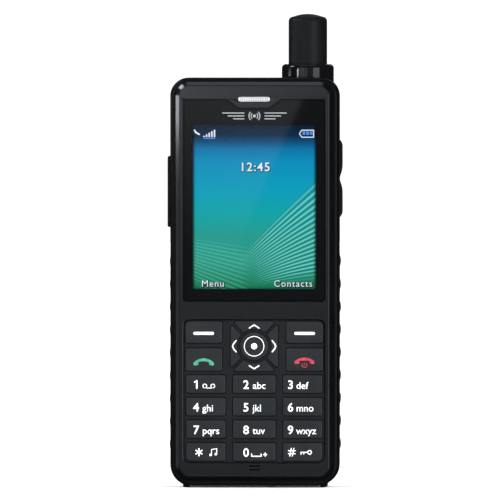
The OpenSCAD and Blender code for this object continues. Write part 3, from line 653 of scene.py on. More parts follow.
def add_rear_cuts(bm):
    """Battery bay, the door's recess, room for the SIM and contacts, screw holes and slots."""
    beyond = SHELL_Y + 1
    head_y, head_r = (9.2, 2)
    card_x, card_z = ((-13.4, 13.4), (44, 77))
    contacts_x, contacts_z = ((-6.1, 6.1), (81.3, 82.8))
    add_block(bm, (-19.4, 19.4), (BAY_Y, beyond), (14.6, 81.4))
    door = footprint("battery_door", 3.2, gap=0.2, steps=10)
    add_solid(bm, rings(door, [(0, LEDGE_Y), (0, beyond)]))
    add_block(bm, card_x, (PARTING_Y - 0.1, BAY_Y + 0.1), card_z)
    add_block(bm, contacts_x, (BAY_Y, 6.1), contacts_z)
    for x, z in SCREWS:
        add_rod(bm, "Y", x, z, PARTING_Y - 1, 10, SCREW_BORE, 24)
        add_rod(bm, "Y", x, z, head_y, beyond, head_r, 32)
    for x in DOOR_SCREWS_X:
        add_rod(bm, "Y", x, DOOR_SCREW_Z, 5, LEDGE_Y + 0.1, SCREW_BORE, 24)
    low, high = span("loudspeaker")
    x, _, z = around("loudspeaker", 0.1)
    add_block(bm, x, (low.y - 1, high.y), z)
    slots, pitch, half = (5, 2.6, 0.6)
    for i in range(slots):
        z = middle("loudspeaker")[1] + pitch * (i - slots // 2)
        slot = rectangle(low.x + 3, high.x - 3, z - half, z + half, 0.55)
        add_solid(bm, rings(slot, [(0, INNER_Y - 0.1), (0, beyond)]))


def build_rear_shell():
    """The back half: straight sides that round over into the back, hollow inside."""
    steps = 14
    turns = [math.pi / 2 * i / steps for i in range(steps + 1)]
    inside = [(REAR_WALL + (BACK_INSET - 1) * (1 - math.cos(a)),
               ROUND_Y + (INNER_Y - ROUND_Y) * math.sin(a)) for a in reversed(turns)]
    outside = [(BACK_INSET * (1 - math.cos(a)),
                ROUND_Y + (SHELL_Y - ROUND_Y) * math.sin(a)) for a in turns]
    parting = [(REAR_WALL, PARTING_Y), (0.3, PARTING_Y), (0.22, PARTING_Y + 0.08),
               (0, PARTING_Y + 0.3)]
    shell = new_object("rear_shell", solid(rings(body, inside + parting + outside)))
    inner = bmesh.new()
    add_rear_inside(inner)
    combine(shell, inner, "UNION")
    cuts = bmesh.new()
    add_rear_cuts(cuts)
    add_shared_cuts(cuts)
    combine(shell, cuts, "DIFFERENCE")
    ears = bmesh.new()
    ear_x = span("port_cover")[0].x + HINGE_R
    for z in ((FLAP_Z[0], FLAP_Z[0] + 2), (FLAP_Z[1] - 2, FLAP_Z[1])):
        add_rod(ears, "Z", ear_x, HINGE_Y, *z, HINGE_R, 32)
        add_block(ears, (ear_x, ear_x + 1.75), (HINGE_Y - HINGE_R, HINGE_Y + HINGE_R), z)
    combine(shell, ears, "UNION")
    settle(shell, "root", "housing", "shell_rear", ["rear_housing"], bevel=SHELL_EDGE)


# ---------------------------------------------------------------- face

def build_face_panel():
    """The front panel, with a crisp slope round its edge and its openings."""
    slope = [(1.5, 0), (1.38, 0.02), (1.26, 0.08), (0.22, 1.04), (0.1, 1.14), (0, 1.3)]
    outer = rings(face, [(inset, FRONT_Y + drop) for inset, drop in slope] + [(0, PLATE_Y)])
    openings = [(lens, 0.1, 0.06), (pad, 0, 0.35), (earpiece, 0.05, 0.12)]
    openings += [(slit, 0, 0.1) for slit in slits]
    holes = []
    for shape, gap, radius in openings:
        profile = over_edge(FRONT_Y, radius, gap, steps=3) + [(gap, PLATE_Y)]
        holes.append(rings(shape, grown(profile)))
    add_piece("face_panel", solid(outer, holes), "root", "face", "face", ["face_plate"])


def build_lens():
    """A glossy black printed frame, and the clear pane over the display."""
    sheet_y = LENS_LOW.y
    step = 0.4
    front = [(step, sheet_y + 0.35), (step, sheet_y + 0.08), (step + 0.08, sheet_y)]
    border = rings(lens, [(0, PLATE_Y), (0, sheet_y + 0.35)] + front)
    window = rings(screen, [(0, PLATE_Y), (0, sheet_y)])
    add_piece("lens_border", solid(border, [window]), "root", "lens", "border", ["lens"])
    pane = rings(screen, [(0.01, sheet_y), (0.01, sheet_y + 0.8)])
    add_piece("lens_glass", solid(pane), "root", "lens", "glass")


def build_display():
    """The display panel, lit on its front."""
    low, high = span("lcd_panel")
    plate = rings(footprint("lcd_panel", 0.6), over_edge(low.y, 0.2) + under_edge(high.y, 0.2))
    add_piece("display_panel", solid(plate), "root", "display", "display", ["lcd_panel"])


def build_earpiece():
    """A silver strip with two rows of holes."""
    low, high = span("earpiece_grille")
    hole_r, pitch, across, row_z = (0.19, 0.58, 16, 0.32)
    profile = over_edge(low.y, 0.15) + [(0, high.y)]
    holes = []
    for row in (-1, 1):
        for i in range(across):
            x = (i - (across - 1) / 2) * pitch
            hole = disc(x, middle("earpiece_grille")[1] + row * row_z, hole_r, 12)
            holes.append(rings(hole, [(0, low.y), (0, high.y)]))
    add_piece("earpiece_strip", solid(rings(earpiece, profile), holes), "root", "grille", "grille",
              ["earpiece_grille"])


# ---------------------------------------------------------------- keys

CAP_Y = span("key_5")[0].y
CAP_EDGE = 0.28
CROWN = 0.06
FLANGE_GROW = 0.3
FLANGE_Y = PLATE_Y + 0.6
FLANGE_T = 0.5
PLUNGER_R = 1.1
SELECT_R = 4.65
NAV_Z = 46.1
NAV_X, NAV_H, NAV_WEB = (7.8, 8.25, 0.9)
NAV_INNER = SELECT_R + 0.9
NAV_PLUNGER = 6.8


def key_outline(part, radii):
    """The outline of a square key's cap, from its CAD node's box less the flange."""
    (x0, x1), _, (z0, z1) = around(part, -FLANGE_GROW)
    return outline([(x0, z0), (x1, z0), (x1, z1), (x0, z1)], radii)


def wedge_outline(half_w, half_h, turn):
    """The outline of a tapered navigation key, turned about the select key."""
    slope = half_h / half_w
    corner = 0.5
    steps = 10

    def loop(inset):
        lift = (NAV_WEB / 2 + inset) * math.sqrt(1 + slope * slope)
        top = half_h - inset
        top_x = (top - lift) / slope
        radius = NAV_INNER + inset
        # where the slanted side meets the ring: x² + (lift + slope x)² = radius²
        a, b, c = (1 + slope * slope, 2 * slope * lift, lift * lift - radius * radius)
        foot_x = (math.sqrt(b * b - 4 * a * c) - b) / (2 * a)
        foot = Vector((foot_x, lift + slope * foot_x))
        points = [foot, Vector((top_x, top)), Vector((-top_x, top)), Vector((-foot.x, foot.y))]
        rounding = max(corner - inset, 0.05)
        shape = fillet(points, [0.02, rounding, rounding, 0.02], 4)
        start = math.atan2(foot.y, -foot.x)
        sweep = math.atan2(foot.y, foot.x) - start
        shape += arc(Vector((0, 0)), radius, start, sweep, steps)[1:-1]
        spin = Matrix.Rotation(math.radians(turn), 2)
        return [spin @ p + Vector((0, NAV_Z)) for p in shape]

    return loop


def build_key(name, shape, press, crowned=True):
    """A cap with rounded edges, its flange and the plunger behind it."""
    crown = [(1.6, CAP_Y), (0.9, CAP_Y + CROWN * 0.35)] if crowned else []
    edge = over_edge(CAP_Y + CROWN * crowned, CAP_EDGE, steps=4)
    flange = [(0, FLANGE_Y), (-FLANGE_GROW, FLANGE_Y), (-FLANGE_GROW, FLANGE_Y + FLANGE_T)]
    key = new_object(name + "_cap", solid(rings(shape, crown + edge + flange)))
    rod = bmesh.new()
    add_rod(rod, "Y", *press, FLANGE_Y + 0.2, span(name)[1].y, PLUNGER_R, 24)
    combine(key, rod, "UNION")
    settle(key, name, "keycap", "key", [name])


DIGITS = [["key_star", "key_0", "key_hash"], ["key_7", "key_8", "key_9"],
          ["key_4", "key_5", "key_6"], ["key_1", "key_2", "key_3"]]
WIDE_KEYS = ["soft_key_left", "soft_key_right", "call_key", "end_key"]
NAV_KEYS = {"nav_up": 0, "nav_left": 90, "nav_down": 180, "nav_right": 270}


def build_keys():
    """All caps; a key at a corner of the pad follows the pad's rounding."""
    small, wide = (0.6, 1.6)
    at_corner = {"key_star": 0, "key_hash": 1, "soft_key_right": 2, "soft_key_left": 3}
    outlines = {}
    for key in [k for row in DIGITS for k in row] + WIDE_KEYS:
        radii = [wide if at_corner.get(key) == i else small for i in range(4)]
        outlines[key] = key_outline(key, radii)
        build_key(key, outlines[key], middle(key))
    for key, turn in NAV_KEYS.items():
        sizes = (NAV_X, NAV_H) if turn % 180 == 0 else (NAV_H, NAV_X)
        outlines[key] = wedge_outline(*sizes, turn)
        way = Matrix.Rotation(math.radians(turn), 2) @ Vector((0, NAV_PLUNGER))
        build_key(key, outlines[key], (way.x, way.y + NAV_Z), crowned=False)
    outlines["select_key"] = disc(0, NAV_Z, SELECT_R, 48)
    build_key("select_key", outlines["select_key"], (0, NAV_Z))
    return outlines


def build_keypad_mat(outlines):
    """The web between the keys, with a softened opening round each."""
    clearance, edge = (0.13, 0.16)
    outer = over_edge(MAT_LOW.y, 0.2, 0.1) + [(0.1, PLATE_Y), (-0.9, PLATE_Y), (-0.9, MAT_HIGH.y)]
    holes = []
    for shape in outlines.values():
        profile = over_edge(MAT_LOW.y, edge, clearance, steps=3) + [(clearance, MAT_HIGH.y)]
        holes.append(rings(shape, grown(profile)))
    add_piece("keypad_web", solid(rings(pad, outer), holes), "root", "rubber", "mat", ["keypad_mat"])


# ---------------------------------------------------------------- marks

MARK_T = 0.05
MARK_SINK = 0.03
LIFT = 0.006
DIGIT_H = 2.85
LETTER_H = 2.3
FONT_CAP = 0.73


def add_shape(bm, loop, y, holes=(), thickness=MARK_T):
    profile = (y - thickness + MARK_SINK, y + MARK_SINK)
    stack = [ring(loop, h) for h in profile]
    add_solid(bm, stack, [[ring(hole, h) for h in profile] for hole in holes])


def stroke(points, width):
    """The outline of a line of this width with round ends."""
    ends = 6
    path = [Vector(p) for p in points]
    half = width / 2
    ways = [(b - a).normalized() for a, b in zip(path, path[1:])]
    sides = []
    for i, point in enumerate(path):
        before, after = ways[max(i - 1, 0)], ways[min(i, len(ways) - 1)]
        normal = Vector((-before.y - after.y, before.x + after.x)) / (1 + before.dot(after))
        sides.append((point - normal * half, point + normal * half))
    first = math.atan2(ways[0].y, ways[0].x) + math.pi / 2
    last = math.atan2(ways[-1].y, ways[-1].x) - math.pi / 2
    right = [s[0] for s in sides][1:-1]
    left = [s[1] for s in sides][1:-1]
    return (arc(path[0], half, first, math.pi, ends) + right
            + arc(path[-1], half, last, math.pi, ends) + left[::-1])


def add_line(bm, points, width, y, lift=0):
    """A line with round ends, lifted a little where it crosses another mark."""
    add_shape(bm, stroke(points, width), y, thickness=MARK_T + lift)


def add_text(bm, text, height, x, z, y, weight=0.0, align="LEFT", spacing=1.0):
    """Digits or letters as closed shapes, with their baseline at z."""
    curve = bpy.data.curves.new("text", "FONT")
    curve.body = text
    curve.size = height / FONT_CAP
    curve.align_x = align
    curve.space_character = spacing
    curve.extrude = MARK_T / 2
    curve.offset = weight
    curve.resolution_u = 3
    obj = bpy.data.objects.new("text", curve)
    bpy.context.scene.collection.objects.link(obj)
    graph = bpy.context.evaluated_depsgraph_get()
    mesh = bpy.data.meshes.new_from_object(obj.evaluated_get(graph))
    bpy.data.objects.remove(obj)
    move = Matrix.Translation((x, y - MARK_T / 2 + MARK_SINK, z))
    mesh.transform(move @ Matrix.Rotation(math.pi / 2, 4, "X"))
    made = bmesh.new()
    made.from_mesh(mesh)
    bmesh.ops.remove_doubles(made, verts=made.verts, dist=0.0005)
    made.to_mesh(mesh)
    made.free()
    bm.from_mesh(mesh)
    bpy.data.meshes.remove(mesh)


def add_ring(bm, x, z, radius, width, y, steps=32):
    add_shape(bm, circle(x, z, radius + width / 2, steps), y, [circle(x, z, radius - width / 2, steps)])


# Where the digit and the letters of each column start, from the key's middle
DIGIT_START = (-4.1, -3.6, -4.9)
LETTER_START = (-1.1, -0.5, -2.1)
LEGENDS = {
    "key_2": "2 abc", "key_3": "3 def", "key_4": "4 ghi", "key_5": "5 jkl", "key_6": "6 mno",
    "key_7": "7 pqrs", "key_8": "8 tuv", "key_9": "9 wxyz", "key_0": "0",
}


def add_one(bm, x, z, y):
    add_line(bm, [(x + 0.3, z + 0.2), (x + 0.3, z + DIGIT_H - 0.25)], 0.5, y)
    add_line(bm, [(x - 0.45, z + DIGIT_H - 0.7), (x + 0.2, z + DIGIT_H - 0.3)], 0.4, y, LIFT)


def add_hash(bm, x, z, y):
    lean = 0.25
    for side in (-1, 1):
        foot = (x + side * 0.42 - lean, z + 0.15)
        head = (x + side * 0.42 + lean, z + DIGIT_H - 0.15)
        add_line(bm, [foot, head], 0.32, y)
        level = z + DIGIT_H / 2 + side * 0.48
        add_line(bm, [(x - 1.1, level), (x + 1.1, level)], 0.32, y, LIFT)


def add_voicemail(bm, x, z, y):
    add_ring(bm, x + 0.8, z + 0.75, 0.62, 0.26, y, 20)
    add_ring(bm, x + 3.4, z + 0.75, 0.62, 0.26, y, 20)
    add_line(bm, [(x + 0.8, z + 0.1), (x + 3.4, z + 0.1)], 0.24, y)


def add_star(bm, x, z, y):
    for angle in (90, 30, 150):
        reach = Vector((math.cos(math.radians(angle)), math.sin(math.radians(angle)))) * 1.15
        centre = Vector((x, z))
        add_line(bm, [centre - reach, centre + reach], 0.4, y, 0.004 * angle / 30)


def add_note(bm, x, z, y):
    add_shape(bm, circle(x, z + 0.35, 0.42, 16), y)
    add_shape(bm, circle(x + 1.7, z + 0.6, 0.42, 16), y)
    path = [(x + 0.3, z + 0.4), (x + 0.3, z + 2.1), (x + 2.0, z + 2.35), (x + 2.0, z + 0.65)]
    add_line(bm, path, 0.26, y, LIFT)


def add_space_and_plus(bm, x, z, y):
    add_line(bm, [(x, z + 0.75), (x, z), (x + 3.1, z), (x + 3.1, z + 0.75)], 0.34, y)
    px, pz = (x + 4.4, z + 0.55)
    add_line(bm, [(px - 0.55, pz), (px + 0.55, pz)], 0.32, y)
    add_line(bm, [(px, pz - 0.55), (px, pz + 0.55)], 0.32, y, LIFT)


def add_lock_key(bm, x, z, y):
    add_ring(bm, x + 2.8, z + 1.0, 0.6, 0.3, y, 20)
    add_line(bm, [(x + 2.2, z + 1.0), (x, z + 1.0), (x, z + 0.35)], 0.32, y, LIFT)
    add_line(bm, [(x + 0.9, z + 1.0), (x + 0.9, z + 0.45)], 0.3, y, 2 * LIFT)


def build_digit_marks():
    for row in DIGITS:
        for column, key in enumerate(row):
            digit, _, letters = LEGENDS.get(key, "").partition(" ")
            cx, cz = middle(key)
            z = cz - DIGIT_H / 2 - 0.1
            first, second = cx + DIGIT_START[column], cx + LETTER_START[column]
            bm = bmesh.new()
            if digit:
                add_text(bm, digit, DIGIT_H, first, z, CAP_Y, weight=0.06)
            if letters:
                add_text(bm, letters, LETTER_H, second, z, CAP_Y, weight=0.025)
            if key == "key_1":
                add_one(bm, first + 0.9, z, CAP_Y)
                add_voicemail(bm, second, z + 0.15, CAP_Y)
            if key == "key_star":
                add_star(bm, first + 1.9, z + DIGIT_H / 2, CAP_Y)
                add_note(bm, second + 2.7, z + 0.2, CAP_Y)
            if key == "key_0":
                add_space_and_plus(bm, second - 0.3, z + 0.1, CAP_Y)
            if key == "key_hash":
                add_hash(bm, first + 1.4, z, CAP_Y)
                add_lock_key(bm, second + 1.6, z + 0.4, CAP_Y)
            mark_key(key, bm)


def add_handset(bm, x, z, y, width, rise):
    """An arched handset with a rounded pad at each end."""
    half = width / 2
    top = [Vector((x + half * t, z + rise * (1 - abs(t) ** 2.2))) for t in
           [i / 10 - 1 for i in range(21)]]
    under = [Vector((x + half * 0.52 * t, z + (rise - 0.95) * (1 - 0.5 * t * t))) for t in
             [1 - i / 5 for i in range(11)]]
    right = [Vector((x + half, z - 0.75)), Vector((x + half * 0.9, z - 0.95)),
             Vector((x + half * 0.62, z - 0.8)), Vector((x + half * 0.52, z - 0.6))]
    left = [Vector((2 * x - p.x, p.y)) for p in reversed(right)]
    loop = top + right + under + left
    add_shape(bm, loop[::-1], y)


def mark_key(key, bm, print_colour="white", ending="_mark"):
    """Sets a finished print on a key's cap."""
    add_piece(key + ending, bm, key, "keycap", print_colour)


def build_wide_key_marks():
    """A bar on each soft key, a green and a red handset, and a power sign."""
    bar_reach, bar_w = (2.9, 0.95)
    for key in ("soft_key_left", "soft_key_right"):
        bm = bmesh.new()
        cx, cz = middle(key)
        add_line(bm, [(cx - bar_reach, cz - 0.4), (cx + bar_reach, cz - 0.4)], bar_w, CAP_Y)
        mark_key(key, bm)
    for key, drop, width, rise, tint in (("call_key", 1.0, 6.6, 1.4, "green"),
                                         ("end_key", 0.5, 6.4, 1.15, "red")):
        bm = bmesh.new()
        cx, cz = middle(key)
        add_handset(bm, cx, cz - drop, CAP_Y, width, rise)
        mark_key(key, bm, tint)
    bm = bmesh.new()
    thin = 0.2
    power = arc(Vector((cx, cz - 1.75)), 0.78, math.radians(130), math.radians(280), 16)
    add_line(bm, power, thin, CAP_Y)
    add_line(bm, [(cx, cz - 1.9), (cx, cz - 1.1)], thin, CAP_Y)
    mark_key("end_key", bm, "red", "_power")


def build_navigation_marks():
    """Chevrons up and down, shallow bows left and right, and a ring with a dot."""
    bow = [(-1.8, 5.9), (-0.75, 6.75), (0, 7.05), (0.75, 6.75), (1.8, 5.9)]
    tips = {"nav_up": 6.95, "nav_down": 7.35}
    for key, turn in NAV_KEYS.items():
        bm = bmesh.new()
        spin = Matrix.Rotation(math.radians(turn), 2)
        tip = tips.get(key)
        path = [(-1.55, tip - 1), (0, tip), (1.55, tip - 1)] if tip else bow
        add_line(bm, [spin @ Vector(p) + Vector((0, NAV_Z)) for p in path], 0.4, CAP_Y)
        mark_key(key, bm)
    bm = bmesh.new()
    add_ring(bm, 0, NAV_Z, 3.2, 0.23, CAP_Y, 64)
    add_shape(bm, circle(0, NAV_Z, 1.0, 32), CAP_Y)
    mark_key("select_key", bm)


def build_lens_mark():
    """A generic signal sign, a dot between arcs, with a thin line on each side."""
    y = LENS_LOW.y
    x, z = (0.1, 121.2)
    bm = bmesh.new()
    add_shape(bm, circle(x, z, 0.5), y)
    for radius in (1.1, 1.8):
        for start in (-42, 138):
            bow = arc(Vector((x, z)), radius, math.radians(start), math.radians(84), 10)
            add_line(bm, bow, 0.32, y)
    for side in (-1, 1):
        for i, reach in enumerate((10.4, 8.6, 6.8)):
            level = z + 0.95 * (1 - i)
            add_line(bm, [(x + side * 3.4, level), (x + side * reach, level)], 0.34, y)
    add_piece("lens_mark", bm, "root", "lens", "silver")


def build_screen_marks():
    """Clock, soft key labels, signal bars and battery sign on the display."""
    y = span("lcd_panel")[0].y - 0.1
    bm = bmesh.new()
    labels = [("12:45", 2.9, 0.2, 103.2, "CENTER"), ("Menu", 2.2, -17.3, 65.5, "LEFT"),
              ("Contacts", 2.2, 19, 65.5, "RIGHT")]
    for text, height, x, z, align in labels:
        add_text(bm, text, height, x, z, y, 0.05 if height > 2.5 else 0, align, 1.15)
    bars_x, bars_z, pitch = (-16.7, 114.3, 0.86)
    for i in range(5):
        x = bars_x + pitch * i
        tall = 0.4 + 0.5 * i
        add_shape(bm, rectangle(x, x + 0.5, bars_z, bars_z + tall, 0.08, steps=2)(0), y)
    add_line(bm, [(-19.5, 116.5), (-19.1, 115.8), (-18, 115.2)], 0.55, y)
    cell = [(14.5, 115.4), (15.4, 114.1), (19.5, 114.1), (19.5, 116.7), (15.4, 116.7)]
    shape = outline(cell, [0.3, 0.3, 0.25, 0.25, 0.3], 3)
    add_shape(bm, shape(0), y, [shape(0.3)])
    add_piece("screen_marks", bm, "root", "display", "glow")
    bm = bmesh.new()
    cells_x, pitch = (15.7, 1.2)
    for i in range(3):
        x = cells_x + pitch * i
        add_shape(bm, rectangle(x, x + 0.95, 115.0, 116.2, 0.1, steps=2)(0), y)
    add_line(bm, [(-16.4, 113.9), (-12.9, 113.9)], 0.35, y)
    add_piece("screen_blues", bm, "root", "display", "glow_blue")
    bm = bmesh.new()
    for text, height, x, z, align in labels:
        add_text(bm, text, height, x + 0.12, z - 0.15, y + 0.04, 0.2, align, 1.15)
    add_piece("screen_shades", bm, "root", "display", "shade")


# ---------------------------------------------------------------- antenna and sides

def build_antenna():
    """The pull-out sleeve, with a domed top and rounded edges."""
    low, high = span("antenna_tube")
    radius = (high.x - low.x) / 2
    crown, edge, turns, steps = (0.9, 1.5, 8, 6)
    flat = radius - edge
    profile = [(0.02, high.z)]
    for i in range(1, steps + 1):
        profile.append((flat * i / steps, high.z - crown * (i / steps) ** 2))
    for i in range(1, turns + 1):
        a = math.pi / 2 * i / turns
        profile.append((flat + edge * math.sin(a), high.z - crown - edge * (1 - math.cos(a))))
    profile += [(radius, low.z + 0.3), (radius - 0.3, low.z), (0.02, low.z)]
    bm = bmesh.new()
    add_lathe(bm, ANTENNA_X, ANTENNA_Y, profile)
    add_piece("antenna_sleeve", bm, "antenna", "antenna", "antenna", ["antenna_tube"], sharp=50)


def build_collar():
    """A glossy ring with a rolled upper edge."""
    low, high = span("antenna_collar")
    radius = (high.x - low.x) / 2
    bore, edge, turns = (radius - 2.12, 1.3, 8)
    profile = [(bore, low.z), (radius - 0.15, low.z), (radius, low.z + 0.15)]
    for i in range(turns + 1):
        a = math.pi / 2 * i / turns
        profile.append((radius - edge + edge * math.cos(a), high.z - edge + edge * math.sin(a)))
    profile += [(bore + 0.25, high.z), (bore, high.z - 0.25)]
    bm = bmesh.new()
    add_lathe(bm, ANTENNA_X, ANTENNA_Y, profile, 96)
    add_piece("collar_ring", bm, "root", "collar", "collar", ["antenna_collar"], sharp=50)


def build_grips():
    """Rubber strips with rounded ribs across them."""
    for side, name in ((-1, "side_grip_left"), (1, "side_grip_right")):
        low, high = span(name)
        inner = FRAME_HIGH.x - 0.8
        face_x = FRAME_HIGH.x
        crest = max(abs(low.x), abs(high.x)) - face_x
        ribs, pitch, wide = (9, 7.45, 3)
        centre = middle(name)[1]
        profile = [(face_x - 0.05, low.z)]
        for i in range(ribs):
            z = centre + (i - (ribs - 1) / 2) * pitch
            for k in range(11):
                t = k / 5 - 1
                bulge = crest * math.cos(t * math.pi / 2) ** 0.7
                profile.append((face_x + max(bulge, 0), z + t * (wide / 2 + 0.35)))
        profile.append((face_x - 0.05, high.z))
        loop = [(x, z) for x, z in profile] + [(inner, high.z), (inner, low.z)]
        stack = []
        for y, drop in ((low.y, 0.35), (low.y + 0.15, 0.12), (low.y + 0.5, 0), (high.y - 0.5, 0),
                        (high.y - 0.15, 0.12), (high.y, 0.35)):
            drawn = [(max(x - drop, inner) if x > inner else x, z) for x, z in loop]
            stack.append([(side * x, y, z) for x, z in drawn])
        add_piece(name + "_rubber", solid(stack), "root", "rubber", "rubber", [name], sharp=60)


def build_port_cover():
    """A rubber cover with a rounded outer face, a pull lip and its hinge barrel."""
    low, _ = span("port_cover")
    hinge_x, inner_x = (low.x + HINGE_R, low.x + 1.75)
    barrel_z, pin_z, pin_r = ((87, 106), (86, 107), 0.45)
    stack = []
    for drop, x in ((0.9, low.x + 0.04), (0.45, low.x), (0.15, low.x + 0.12), (0, low.x + 0.45),
                    (0, inner_x - 0.1), (0.1, inner_x)):
        y0, y1 = low.y + drop, HINGE_Y - HINGE_R - 0.15 - drop * 0.3
        z0, z1 = FLAP_Z[0] + drop, FLAP_Z[1] - drop
        loop = rectangle(y0, y1, z0, z1, max(0.9 - drop, 0.1), steps=5)(0)
        stack.append([(x, p.x, p.y) for p in loop])
    cover = new_object("port_flap", solid(stack))
    more = bmesh.new()
    add_block(more, (low.x + 0.3, inner_x), (HINGE_Y - HINGE_R - 0.6, HINGE_Y), barrel_z)
    add_rod(more, "Z", hinge_x, HINGE_Y, *barrel_z, HINGE_R, 32)
    add_rod(more, "Z", hinge_x, HINGE_Y, *pin_z, pin_r, 24)
    combine(cover, more, "UNION")
    groove = bmesh.new()
    for z in (88.2, 104.8):
        add_block(groove, (low.x - 0.5, low.x + 0.25), (low.y + 1.4, 0.6), (z - 0.25, z + 0.25))
    add_block(groove, (low.x - 0.5, low.x + 0.3), (low.y - 0.5, low.y + 0.5), (94, 99))
    combine(cover, groove, "DIFFERENCE")
    settle(cover, "port_cover", "rubber", "rubber", ["port_cover"], sharp=50)


def rocker_side(base, top_x, centre, reach):
    """(x, z) along the rocker's outer side: two lobes with a dip between, and round ends."""
    steps, dip_depth, dip_width, end_share = (40, 0.9, 2.2, 0.2)
    side = []
    for i in range(steps + 1):
        t = 2 * i / steps - 1
        end = max(0.0, (abs(t) - (1 - end_share)) / end_share)
        dip = dip_depth * math.exp(-((t * reach / dip_width) ** 2))
        fall = (top_x - base - 0.5) * (1 - math.sqrt(max(0.0, 1 - end * end)))
        side.append((top_x - dip - fall, centre + t * reach))
    return side


def build_rocker():
    """The volume rocker, with its pivot, its two arms and a minus and a plus sign."""
    low, high = span("volume_rocker")
    base, top_x = (FRAME_HIGH.x - 1.3, high.x)
    centre, reach = (middle("volume_rocker")[1], (high.z - low.z) / 2)
    side = rocker_side(base, top_x, centre, reach)
    stack = []
    for y, drop in ((-5, 0.45), (-4.85, 0.14), (-4.5, 0), (0.5, 0), (0.85, 0.14), (1, 0.45)):
        drawn = [(max(x - drop, base + 0.02), z) for x, z in side]
        loop = drawn + [(base, high.z), (base, low.z)]
        stack.append([(x, y, z) for x, z in loop])
    rocker = new_object("rocker", solid(stack))
    more = bmesh.new()
    arm_z = 7
    add_block(more, (PIVOT_X, base + 0.1), (-5, 1), (centre - 1, centre + 1))
    add_rod(more, "Y", PIVOT_X, centre, low.y, high.y, PIVOT_R, 24)
    for z in (centre - arm_z, centre + arm_z):
        add_block(more, (PIVOT_X - 0.1, base + 0.1), (-4, -2.4), (z - 0.8, z + 0.8))
    combine(rocker, more, "UNION")
    settle(rocker, "volume_rocker", "keycap", "rubber", ["volume_rocker"], sharp=50)
    build_rocker_mark(top_x, centre, reach * 0.55)


def build_rocker_mark(top_x, centre, away):
    """A minus sign below and a plus sign above, whose upright is in two parts."""
    x, half, long = ((top_x - 0.05, top_x - 0.001), 0.18, 1.1)
    upright_y = (-2 - half, -2 + half)
    plus = centre + away
    bm = bmesh.new()
    for z in (centre - away, plus):
        add_block(bm, x, (-2 - long, -2 + long), (z - half, z + half))
    add_block(bm, x, upright_y, (plus - long, plus - half))
    add_block(bm, x, upright_y, (plus + half, plus + long))
    add_piece("rocker_mark", bm, "volume_rocker", "keycap", "white")


def build_feet():
    low, high = span("base_feet")
    bm = bmesh.new()
    for x0 in (low.x, high.x - FOOT_W):
        stack = []
        for drop, z in ((0.4, low.z), (0.12, low.z + 0.12), (0, low.z + 0.4), (0, high.z)):
            loop = rectangle(x0 + drop, x0 + FOOT_W - drop, low.y + drop, high.y - drop,
                             max(0.8 - drop, 0.1), steps=5)(0)
            stack.append([(p.x, p.y, z) for p in loop])
        add_solid(bm, stack)
    add_piece("feet", bm, "root", "rubber", "rubber", ["base_feet"])


# ---------------------------------------------------------------- back

def build_door():
    """The battery door: rounded edges, screw holes and a field of grip lines."""
    low, high = DOOR_LOW, DOOR_HIGH
    profile = [(0.15, low.y), (0, low.y + 0.15)] + under_edge(high.y, 1, steps=5)
    door = footprint("battery_door", 3, steps=10)
    panel = new_object("door_panel", solid(rings(door, profile)))
    cuts = bmesh.new()
    for x in DOOR_SCREWS_X:
        add_rod(cuts, "Y", x, DOOR_SCREW_Z, low.y - 1, high.y + 1, SCREW_BORE, 24)
        add_rod(cuts, "Y", x, DOOR_SCREW_Z, low.y + 0.6, high.y + 1, 1.95, 36)
    lines, pitch, wide = (9, 2.4, 12)
    for i in range(lines):
        z = low.z + 14 + pitch * i
        slot = rectangle(-wide, wide, z - 0.45, z + 0.45, 0.44, steps=5)
        add_solid(cuts, rings(slot, [(0, high.y - 0.3), (0, high.y + 0.5)]))
    combine(panel, cuts, "DIFFERENCE")
    settle(panel, "battery_door", "housing", "shell_rear", ["battery_door"], bevel=0.1)


def build_battery():
    """A wrapped pack with a pale label field and its printed frame."""
    low, high = span("battery_pack")
    sink, stand, inset, line = (0.02, 0.03, 1.4, 0.35)
    pack = rings(footprint("battery_pack", 1.5, steps=8),
                 over_edge(low.y, 0.5) + under_edge(high.y, 0.5))
    add_piece("battery_cell", solid(pack), "battery", "battery", "battery", ["battery_pack"])
    label = rectangle(low.x + 4, high.x - 4, low.z + 8, high.z - 10, 1.2)
    card = rings(label, [(0, high.y - sink), (0, high.y + stand)])
    add_piece("battery_label", solid(card), "battery", "battery", "card")
    top = high.y + stand
    outer, inner = [rings(label, [(i, top - sink), (i, top + stand)]) for i in (inset, inset + line)]
    add_piece("battery_label_frame", solid(outer, [inner]), "battery", "battery", "battery")


def dress_cad_nodes():
    """Finishes for the CAD nodes that stay as they are."""
    finishes = {
        "steel": "lcd_frame microphone key_domes shield_cans usb_socket volume_switches "
                 "sim_holder vibration_motor vibration_weight housing_screws door_screws",
        "inner": "earpiece_receiver headset_socket loudspeaker",
        "board": "dome_board main_board",
        "rubber": "housing_seal antenna_seal",
        "ceramic": "antenna_guide antenna_core",
        "contact": "antenna_contact battery_contacts",
        "card": "sim_card",
    }
    for finish, names in finishes.items():
        for name in names.split():
            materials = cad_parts[name].data.materials
            materials.clear()
            materials.append(MATERIALS[finish])


# ---------------------------------------------------------------- stage

CAMERA_AZIMUTH = 2
CAMERA_FAR = 6
CAMERA_Z = 0.14
ROOM_R, ROOM_HIGH = (8, 9)
SUN_WIDTH = 50
WORLD_STRENGTH = 0.015
PANEL_TINT = (0.92, 0.98, 1.05)
# Two points of the lens, as (x, z), on the slanted edge of the light that shows in it
EDGE_TOP = (15.9, 126)
EDGE_FOOT = (-5.3, 78)


